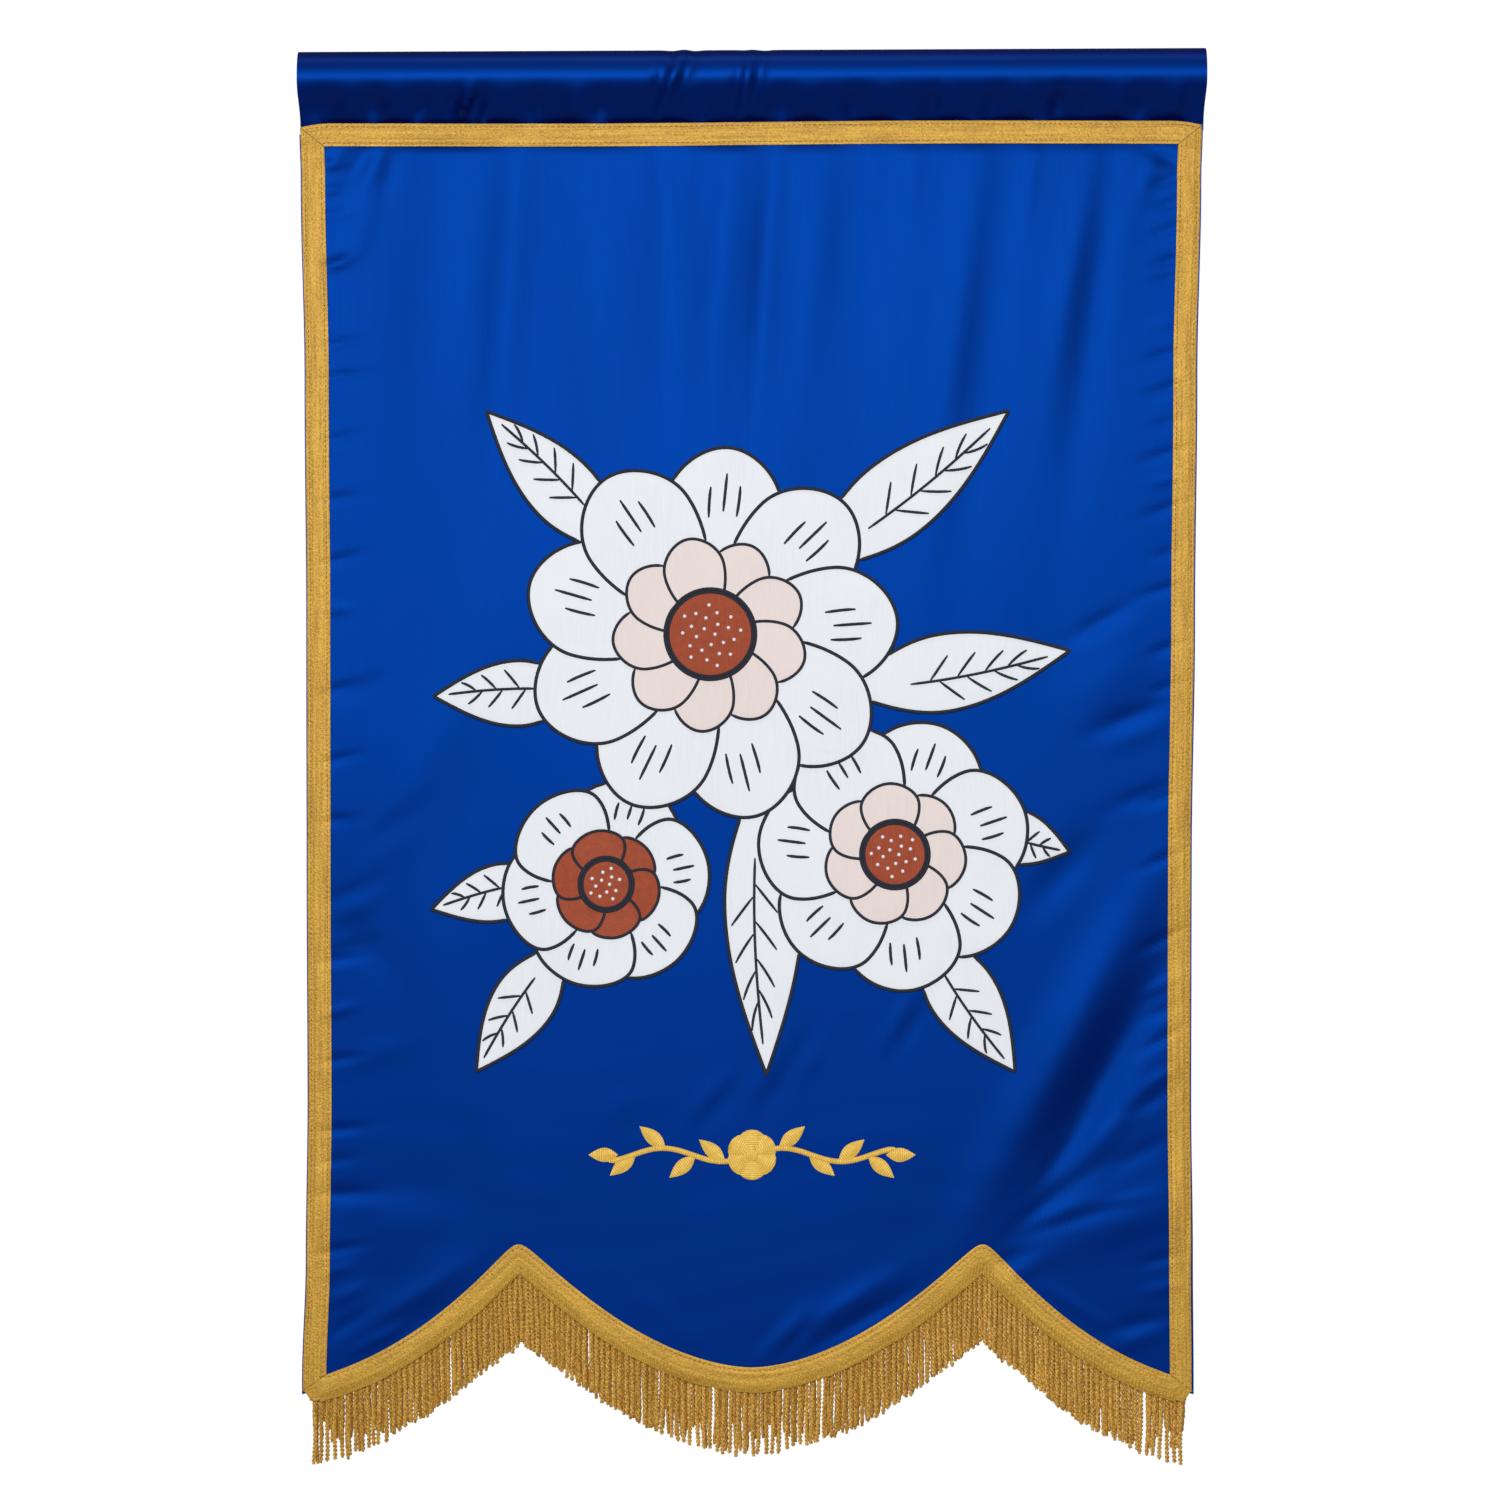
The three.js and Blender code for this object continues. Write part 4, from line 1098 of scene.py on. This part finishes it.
# Each row: root's place from the middle, depth, turn from straight up, length, width
LEAVES = [
    (34, 350, 52, 176, 54), (-84, 340, -44, 136, 46), (-110, 430, -92, 104, 44), (60, 430, 80, 156, 52),
    (150, 520, 106, 66, 36), (112, 590, 146, 116, 46), (6, 480, 179, 208, 52), (-126, 598, -146, 106, 42),
    (-132, 556, -104, 86, 38),
]
APPLIQUE_FRONT = SEWN_ON + 1.0
# A petal is wider than its share of the circle by the first number, and is then drawn in by the second
PETAL_SPREAD, PETAL_DRAWN_IN = 2.3, 0.74
PETAL_WIDEST, PETAL_BLUNT = 0.68, 0.85
INNER_SIZE = 0.52
# Petals are sewn down in this order, so that later ones cover earlier ones
SEWING_ORDER = ("small", "middle", "large")


class Blade:
    """A leaf or petal on the banner's face, in millimetres."""

    def __init__(self, at, depth, turn, length, width, widest=0.45, blunt=0.0):
        self.root = np.array([at, -depth], float)
        angle = math.radians(turn)
        self.line = np.array([math.sin(angle), math.cos(angle)])
        self.side = np.array([math.cos(angle), -math.sin(angle)])
        self.length, self.width, self.widest, self.blunt = length, width, widest, blunt

    def half_at(self, t):
        t = np.clip(np.asarray(t, float), 0, 1)
        rising = np.sin(np.minimum(t / self.widest, 1) * math.pi / 2)
        past = np.clip((t - self.widest) / (1 - self.widest), 0, 1)
        pointed = np.cos(past * math.pi / 2)
        rounded = np.sqrt(np.maximum(0, 1 - past * past))
        closing = pointed + (rounded - pointed) * self.blunt
        return self.width / 2 * np.where(t < self.widest, rising, closing)

    def place(self, t, aside):
        """Points at a share t of the length and a distance aside, as rows of x and z."""
        t, aside = np.broadcast_arrays(np.asarray(t, float), aside)
        return self.root + (t * self.length)[..., None] * self.line + aside[..., None] * self.side

    def holds(self, points, margin):
        """Whether each point lies inside the blade, by a margin at its sides."""
        away = np.asarray(points) - self.root
        t = away @ self.line / self.length
        aside = np.abs(away @ self.side)
        return (t > 0) & (t < 1) & (aside < self.half_at(t) - margin)


def petals_of(flower, scale=1.0, offset=0.0):
    share = 360 / flower["petals"]
    length = flower["radius"] * scale
    width = PETAL_SPREAD * flower["radius"] * math.tan(math.radians(share / 2)) * PETAL_DRAWN_IN * scale
    turns = [flower["turn"] + offset + k * share for k in range(flower["petals"])]
    return [Blade(flower["at"], flower["depth"], turn, length, width, PETAL_WIDEST, PETAL_BLUNT) for turn in turns]


leaf_blades = [Blade(*row) for row in LEAVES]
outer_petals = {name: petals_of(flower) for name, flower in FLOWERS.items()}
inner_petals = {
    name: petals_of(flower, INNER_SIZE, 0.5 * 360 / flower["petals"]) for name, flower in FLOWERS.items()
}
all_outer_petals = [blade for name in SEWING_ORDER for blade in outer_petals[name]]
all_inner_petals = [blade for petals in inner_petals.values() for blade in petals]
print(len(leaf_blades), "leaves,", len(all_outer_petals), "outer and", len(all_inner_petals), "inner petals")

# %% [markdown]
# Each blade becomes a thin closed sheet that follows the panel's folds. Its front lies 0.7 to 1 mm above its back at
# the middle and lower at the rim, where the outline will press it down.

# %% White applique
# The level that the blades' fronts start from, and how much higher each lies than the last
FIRST_LAYER, LAYER_STEP = APPLIQUE_FRONT - 0.3, 0.008
INNER_BACK, INNER_FRONT = APPLIQUE_FRONT + 0.02, APPLIQUE_FRONT + 0.3
# A blade narrower than this, to each side, is crowned less
FULL_CROWN_HALF = 6


def on_face(places, out):
    """Points on the banner's face from rows of x and z, out millimetres in front of the cloth's middle."""
    x, z = places[..., 0], places[..., 1]
    u = x * HALF_WIDTH / half_width(x, z)
    return np.stack([x, cloth_y(u, z) - out, z], axis=-1)


def add_blade(pile, blade, back, front, lengthways, across, puff=0.25, crown_power=4):
    """A blade as a sheet of so many points lengthways and across, puffed up towards its middle."""
    t = (1 - np.cos(np.linspace(0, math.pi, lengthways))) / 2
    s = np.linspace(-1, 1, across)
    half = blade.half_at(t)
    places = blade.place(t[None, :], s[:, None] * half[None, :])
    crown = (1 - np.abs(s[:, None]) ** crown_power) * np.clip(half[None, :] / FULL_CROWN_HALF, 0, 1)
    coordinates = np.stack([t[None, :] * blade.length + 0 * s[:, None], s[:, None] * half[None, :]], axis=-1)
    near = on_face(places, front - puff + puff * crown)
    far = on_face(places, back)
    pile.add_sheet(near[:, ::-1], far[:, ::-1], coordinates[:, ::-1])


def make_applique():
    pile = Pile()
    grids = [(leaf, 26, 9) for leaf in leaf_blades] + [(petal, 24, 11) for petal in all_outer_petals]
    for layer, (blade, lengthways, across) in enumerate(grids, 1):
        add_blade(pile, blade, SEWN_ON, FIRST_LAYER + LAYER_STEP * layer, lengthways, across)
    return make_piece("applique_white", pile, white_satin, tidy=True)


def make_inner_petals(piece_name, flower_names, material):
    pile = Pile()
    for name in flower_names:
        for layer, blade in enumerate(inner_petals[name]):
            add_blade(pile, blade, INNER_BACK, INNER_FRONT + LAYER_STEP * layer, 16, 9, 0.15)
    return make_piece(piece_name, pile, material, tidy=True)


applique = make_applique()
pink_petals = make_inner_petals("applique_pink", ("large", "middle"), pink_satin)
rust_petals = make_inner_petals("petals_rust", ("small",), rust_stitch)

# %% [markdown]
# The outlines are a dark cord, couched down round every edge and along the veins. Only the part of an outline that no
# later petal covers is laid, so each point of an outline is tested against the petals above it, and the cord is broken
# into the runs that are left.

# %% Dark outlines
OUTLINE_RADIUS = 1.15
INNER_RADIUS, VEIN_RADIUS, PLEAT_RADIUS = 1.0, 0.9, 1.0
OUTLINE_OUT, INNER_OUT = APPLIQUE_FRONT + 0.1, APPLIQUE_FRONT + 0.4
EDGE_SPACING = 1.6
# A run of fewer points than this is left out, and a cover hides a line from a little inside its own edge
LEAST_RUN, COVER_MARGIN = 4, 0.3
# Where the side veins leave a leaf's midrib, as shares of its length, and how far the midrib bends
LONG_LEAF = 120
LONG_LEAF_VEINS, SHORT_LEAF_VEINS = (0.38, 0.5, 0.62, 0.72), (0.4, 0.55, 0.68)
MIDRIB_BEND = 0.03
# Each row: a petal's pleat aside from its middle, and the shares of its length where it starts and ends
PLEATS = [(0, 0.66, 0.86), (-0.4, 0.62, 0.78), (0.4, 0.64, 0.8)]
# Each flower's centre is a round of this share of its radius
CENTRE_SHARE = 0.22
centre_discs = [(f["at"], -f["depth"], f["radius"] * CENTRE_SHARE) for f in FLOWERS.values()]


def add_outline(pile, places, out, radius=OUTLINE_RADIUS, sides=8):
    """A low rounded cord along rows of x and z, tapering at both ends."""
    line = on_face(np.asarray(places, float), out)
    step = np.gradient(line, axis=0)
    step /= np.maximum(np.linalg.norm(step, axis=1), 1e-9)[:, None]
    aside = np.cross(step, (0, 1, 0))
    aside /= np.linalg.norm(aside, axis=1)[:, None]
    up = np.cross(step, aside)
    angles = np.arange(sides) * 2 * math.pi / sides
    count = len(line)
    ends = np.clip(np.minimum(np.arange(count), np.arange(count)[::-1]) / 1.6, 0.35, 1) ** 0.5
    wide, high = np.cos(angles)[None, :, None], 0.5 * np.sin(angles)[None, :, None]
    across = wide * aside[:, None, :] + high * up[:, None, :]
    rings = line[:, None, :] + across * (radius * ends)[:, None, None]
    pile.add_rings(rings, line[0] - step[0] * 0.5 * radius, line[-1] + step[-1] * 0.5 * radius)


def blade_edge(blade):
    """The blade's outline at even steps, from its root up one edge, round the tip and back."""
    t = (1 - np.cos(np.linspace(0, math.pi, 90))) / 2
    one = blade.place(t, -blade.half_at(t))
    other = blade.place(t, blade.half_at(t))[::-1]
    line = np.concatenate([one, other[1:]])
    walked = walked_along(line)
    even = np.arange(0, walked[-1], EDGE_SPACING)
    return np.stack([np.interp(even, walked, line[:, k]) for k in (0, 1)], axis=1)


def visible_runs(places, covers):
    """Splits a line into the runs that no cover and no centre hides."""
    hidden = np.zeros(len(places), bool)
    for cover in covers:
        hidden |= cover.holds(places, COVER_MARGIN)
    for x, z, radius in centre_discs:
        hidden |= np.hypot(places[:, 0] - x, places[:, 1] - z) < radius
    runs, run = [], []
    for place, gone in zip(places, hidden):
        if gone:
            runs.append(run)
            run = []
        else:
            run.append(place)
    runs.append(run)
    return [r for r in runs if len(r) >= LEAST_RUN]


def lay_cord(pile, places, covers, out=OUTLINE_OUT, radius=OUTLINE_RADIUS):
    """Lays a cord along a line, wherever nothing covers it."""
    for run in visible_runs(places, covers):
        add_outline(pile, run, out, radius)


def lay_edges(pile):
    """The outlines of all leaves and petals."""
    order = leaf_blades + all_outer_petals
    for number, blade in enumerate(order):
        lay_cord(pile, blade_edge(blade), order[number + 1:] + all_inner_petals)
    for petals in inner_petals.values():
        for number, petal in enumerate(petals):
            lay_cord(pile, blade_edge(petal), petals[number + 1:], INNER_OUT, INNER_RADIUS)


def lay_veins(pile, leaf):
    """A bent midrib, and pairs of side veins that leave it."""
    t = np.linspace(0.3, 0.9, 40)
    bend = MIDRIB_BEND * leaf.length * np.sin(t * math.pi)
    lay_cord(pile, leaf.place(t, bend), all_outer_petals, radius=VEIN_RADIUS)
    for start in LONG_LEAF_VEINS if leaf.length > LONG_LEAF else SHORT_LEAF_VEINS:
        for side in (-1, 1):
            reach = np.linspace(0.04, 0.6, 9)
            along = start + 0.04 * (side > 0) + 0.16 * reach
            aside = side * reach * leaf.half_at(along) + MIDRIB_BEND * leaf.length * np.sin(along * math.pi)
            lay_cord(pile, leaf.place(along, aside), all_outer_petals, radius=VEIN_RADIUS)


def lay_pleats(pile, petal):
    """Three short lines towards a petal's tip."""
    later = all_outer_petals[all_outer_petals.index(petal) + 1:]
    for side, first, last in PLEATS:
        t = np.linspace(first, last, 10)
        line = petal.place(t, side * petal.half_at(t) * (0.6 + 0.5 * (t - first)))
        lay_cord(pile, line, later + all_inner_petals, radius=PLEAT_RADIUS)


def make_outlines():
    pile = Pile()
    lay_edges(pile)
    for leaf in leaf_blades:
        lay_veins(pile, leaf)
    for petal in all_outer_petals:
        lay_pleats(pile, petal)
    return make_piece("outline_cord", pile, dark_stitch)


outlines = make_outlines()

# %% [markdown]
# Each flower's centre is a round of close rust-coloured stitches with two dark rings about it, and a scatter of pale
# knots. The round is crowned like a button, as padded stitching is, and its stitches run across it.

# %% Flower centres
CENTRE_OUT = APPLIQUE_FRONT + SEWN_GAP
BUTTON_OUT, BUTTON_CROWN = CENTRE_OUT + 0.5, 0.5
# Each row: how far a ring lies outside its centre, and where round it its cord starts, in radians
RINGS = [(0.6, 0.5), (2.6, 2.4)]
RING_RADIUS, RING_OUT = 1.3, 0.15
KNOT_RADIUS, KNOT_OUT, KNOT_CROWN = 1.2, CENTRE_OUT + 1.0, 0.6
# Knots for each millimetre of the centre's radius, the share of it that they fill, and the turn from one to the next
KNOTS_PER_MM, KNOT_FIELD, KNOT_TURN = 0.9, 0.8, 137.5


def circle(x, z, radius, angles):
    """Places round a point, as rows of x and z."""
    return np.stack([x + radius * np.cos(angles), z + radius * np.sin(angles)], axis=1)


def add_round(pile, x, z, radius, back, front, crown, rings=9, sides=48):
    """A crowned round on the face, as a closed sheet wound about its middle."""
    angles = np.linspace(0, 2 * math.pi, sides + 1)[:-1]
    sizes = np.sin(np.linspace(0.08, 1, rings) * math.pi / 2) * radius
    circles = []
    for size in sizes:
        height = front + crown * math.sqrt(max(0, 1 - (size / radius) ** 2))
        circles.append(on_face(circle(x, z, size, angles), height))
    circles.append(on_face(circle(x, z, radius, angles), back))
    middle = np.array([[x, z]])
    tip = on_face(middle, front + crown)[0]
    under = on_face(middle, back)[0]
    count = len(circles)
    points = np.concatenate(circles + [[tip], [under]])
    faces = []
    for ring in range(count - 1):
        for k in range(sides):
            a, b = ring * sides + k, ring * sides + (k + 1) % sides
            faces.append((a, a + sides, b + sides, b))
    first, last = count * sides, count * sides + 1
    faces += [(first, k, (k + 1) % sides) for k in range(sides)]
    outer = (count - 1) * sides
    faces += [(last, outer + (k + 1) % sides, outer + k) for k in range(sides)]
    pile.add(points, faces)


def make_centre(name, x, z, radius):
    pile = Pile()
    add_round(pile, x, z, radius, CENTRE_OUT, BUTTON_OUT, BUTTON_CROWN)
    return make_piece("flower_centre_" + name + "_rust", pile, rust_stitch)


def make_centre_trim():
    rings, knots = Pile(), Pile()
    for x, z, radius in centre_discs:
        for outside, first in RINGS:
            size = radius + outside
            angles = first + np.linspace(0, 2 * math.pi + 4 / size, 66)
            add_outline(rings, circle(x, z, size, angles), CENTRE_OUT + RING_OUT, RING_RADIUS)
        for number in range(int(radius * KNOTS_PER_MM)):
            turn = number * math.radians(KNOT_TURN)
            size = radius * KNOT_FIELD * math.sqrt((number + 0.5) / (radius * KNOTS_PER_MM))
            knot_x, knot_z = x + size * math.cos(turn), z + size * math.sin(turn)
            add_round(knots, knot_x, knot_z, KNOT_RADIUS, BUTTON_OUT, KNOT_OUT, KNOT_CROWN, 4, 10)
    ring_piece = make_piece("centre_rings", rings, dark_stitch)
    return ring_piece, make_piece("centre_knots", knots, white_satin)


centres = {name: make_centre(name, *disc) for name, disc in zip(FLOWERS, centre_discs)}
centre_rings, centre_knots = make_centre_trim()

# %% [markdown]
# The garland under the spray is raised satin stitch in gold: a waved stem, small leaves to each side of it and a flower
# in the middle. Padding under the stitches gives each leaf a rounded crown. The crown is in the mesh, and the single
# threads are in the material.

# %% Gold garland
GARLAND_DEPTH = 742
GARLAND_REACH = 110
GARLAND_WAVE = 4.5
STEM_WIDTH = 3.6
LEAF_LENGTH, LEAF_WIDTH = 23, 9.6
LEAF_PITCH = 20
# Leaves stand by turns above and below the stem, at these turns from straight up
LEAVES_A_SIDE, LEAF_TURNS = 4, (50, 130)
TIP_LENGTH = 20
GARLAND_FLOWER = {"at": 0, "depth": GARLAND_DEPTH, "radius": 17, "petals": 6, "turn": 0}
BUD_RADIUS = 4.4
GOLD_FRONT, GOLD_TIP_FRONT = SEWN_ON + 1.35, SEWN_ON + 1.4
LEAF_PUFF, PETAL_PUFF = 1.1, 1.2
# Neighbours that touch are set this much apart in depth
LEAF_LAYER, PETAL_LAYER = 0.01, 0.02


def garland_z(x):
    return GARLAND_WAVE * np.sin(np.asarray(x, float) * math.pi / (2 * LEAF_PITCH)) - GARLAND_DEPTH


def add_garland_leaves(pile, side):
    """The leaves along one half of the stem, and the one at its end."""
    for number in range(LEAVES_A_SIDE):
        at = side * LEAF_PITCH * (number + 0.9)
        turn = side * LEAF_TURNS[number % 2]
        leaf = Blade(at, -float(garland_z(at)), turn, LEAF_LENGTH, LEAF_WIDTH)
        add_blade(pile, leaf, SEWN_ON, GOLD_FRONT + LEAF_LAYER * number, 20, 11, LEAF_PUFF, 2)
    tip = Blade(side * (GARLAND_REACH - TIP_LENGTH), GARLAND_DEPTH, side * 90, TIP_LENGTH, LEAF_WIDTH)
    add_blade(pile, tip, SEWN_ON, GOLD_TIP_FRONT, 20, 11, LEAF_PUFF, 2)


def make_garland():
    pile = Pile()
    x = np.linspace(-GARLAND_REACH + 14, GARLAND_REACH - 14, 110)
    stem = np.stack([x, garland_z(x)], axis=1)
    add_outline(pile, stem, SEWN_ON + 0.5, STEM_WIDTH / 2, 10)
    for side in (-1, 1):
        add_garland_leaves(pile, side)
    for number, petal in enumerate(petals_of(GARLAND_FLOWER)):
        layer = PETAL_LAYER * number
        add_blade(pile, petal, SEWN_ON + layer, GOLD_FRONT + layer, 18, 13, PETAL_PUFF, 2)
    add_round(pile, 0, -GARLAND_DEPTH, BUD_RADIUS, SEWN_ON, SEWN_ON + 1.2, 1.0, 7, 24)
    return make_piece("garland_gold", pile, gold_stitch, tidy=True)


garland = make_garland()

# %% [markdown]
# The studio. The photograph has an even, shadowless white ground and one broad soft light from in front and a little
# above the banner, which makes the upper half of the satin brighter than the lower. It stands far off, so the braid
# and the cords are nearly as bright at the hem as at the top. A weaker lamp overhead draws the round of the sleeve.
# The world is white to the camera but dimmer as a light, so that the folds keep their depth.

# %% Lights, world and floor
ROD_MIDDLE, BANNER_MIDDLE = Vector((0, 0, 0)), Vector((0, 0, -0.5))
# Each row: name, place, width and height, power, and the point that the lamp faces
SOFTBOXES = [
    ("key_softbox", Vector((-0.2, -5.0, 0.58)), (2.3, 1.5), 190, BANNER_MIDDLE),
    ("top_softbox", Vector((0, -0.75, 1.9)), (1.6, 0.5), 11, ROD_MIDDLE),
    # A weak lamp behind lets the plain back be seen, and lights the rims of the cords
    ("rear_softbox", Vector((0.5, 4.5, 0.5)), (2.3, 1.5), 60, BANNER_MIDDLE),
]
WORLD_LIGHT = 0.13
FLOOR_RADIUS, FLOOR_HEIGHT, FLOOR_SIDES = 1.4, -1.35, 96


def add_softbox(name, place, size, power, aim):
    light = bpy.data.lights.new(name, "AREA")
    light.shape = "RECTANGLE"
    light.size, light.size_y = size
    light.energy = power
    lamp = bpy.data.objects.new(name, light)
    lamp.location = place
    lamp.rotation_euler = (aim - place).to_track_quat("-Z", "Y").to_euler()
    bpy.context.collection.objects.link(lamp)


def make_world():
    world = bpy.data.worlds.new("studio")
    bpy.context.scene.world = world
    world.use_nodes = True
    tree = world.node_tree
    backdrop = tree.nodes["Background"]
    backdrop.inputs["Color"].default_value = (1, 1, 1, 1)
    backdrop.inputs["Strength"].default_value = 1.0
    dim = add_node(tree, "ShaderNodeBackground", {}, {"Color": (1, 1, 1, 1), "Strength": WORLD_LIGHT})
    seen = add_node(tree, "ShaderNodeLightPath").outputs["Is Camera Ray"]
    mixed = add_node(tree, "ShaderNodeMixShader", {}, {0: seen, 1: dim.outputs[0], 2: backdrop.outputs[0]})
    tree.links.new(mixed.outputs[0], tree.nodes["World Output"].inputs["Surface"])


def make_floor():
    material, tree, shader = new_material("painted_floor_pale", Roughness=0.8)
    clouds = noise(tree, place_in_mm(tree), 0.004, 2)
    colour = shades(tree, clouds, 0.3, 0.7, "#ECECEC", "#F0F0EF")
    tree.links.new(colour, shader.inputs["Base Color"])
    angles = np.linspace(0, 2 * math.pi, FLOOR_SIDES, endpoint=False)
    rim = [(FLOOR_RADIUS * math.cos(a), FLOOR_RADIUS * math.sin(a), FLOOR_HEIGHT) for a in angles]
    mesh = bpy.data.meshes.new("floor")
    mesh.from_pydata(rim, [], [tuple(range(FLOOR_SIDES))])
    mesh.materials.append(material)
    floor = bpy.data.objects.new("floor", mesh)
    bpy.context.collection.objects.link(floor)


for softbox in SOFTBOXES:
    add_softbox(*softbox)
make_world()
make_floor()
bpy.context.scene.view_settings.view_transform = "Standard"
print("studio is lit")

# %% [markdown]
# The last step ties each dressed piece to the frame: it rides on the root body, and the solids that it stands for are
# hidden. Cloth is one rigid body here, because nothing on a hanging banner turns or slides.

# %% Tie the pieces to the frame
def dress(piece, slot, *nodes):
    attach(piece, "root")
    if nodes:
        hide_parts(*nodes)


dress(panel, "satin_blue", "satin_panel")
dress(sleeve, "satin_blue", "rod_sleeve")
dress(top_braid, "gold_braid", "braid_top")
dress(left_braid, "gold_braid", "braid_left")
dress(right_braid, "gold_braid", "braid_right")
dress(hem_braid, "gold_braid", "braid_hem")
dress(fringe, "gold_cord", "fringe")
dress(rear_fringe, "gold_cord")
dress(heading, "gold_cord")
dress(fringe_tape, "gold_braid")
dress(stitches, "gold_braid")
dress(back_stitches, "gold_braid")
dress(applique, "white_satin", "applique_spray")
dress(pink_petals, "white_satin")
dress(rust_petals, "rust_thread")
dress(outlines, "rust_thread")
dress(centre_rings, "rust_thread")
dress(centre_knots, "white_satin")
dress(garland, "gold_thread", "gold_garland")
for name, centre in centres.items():
    dress(centre, "rust_thread", "flower_centre_" + name)
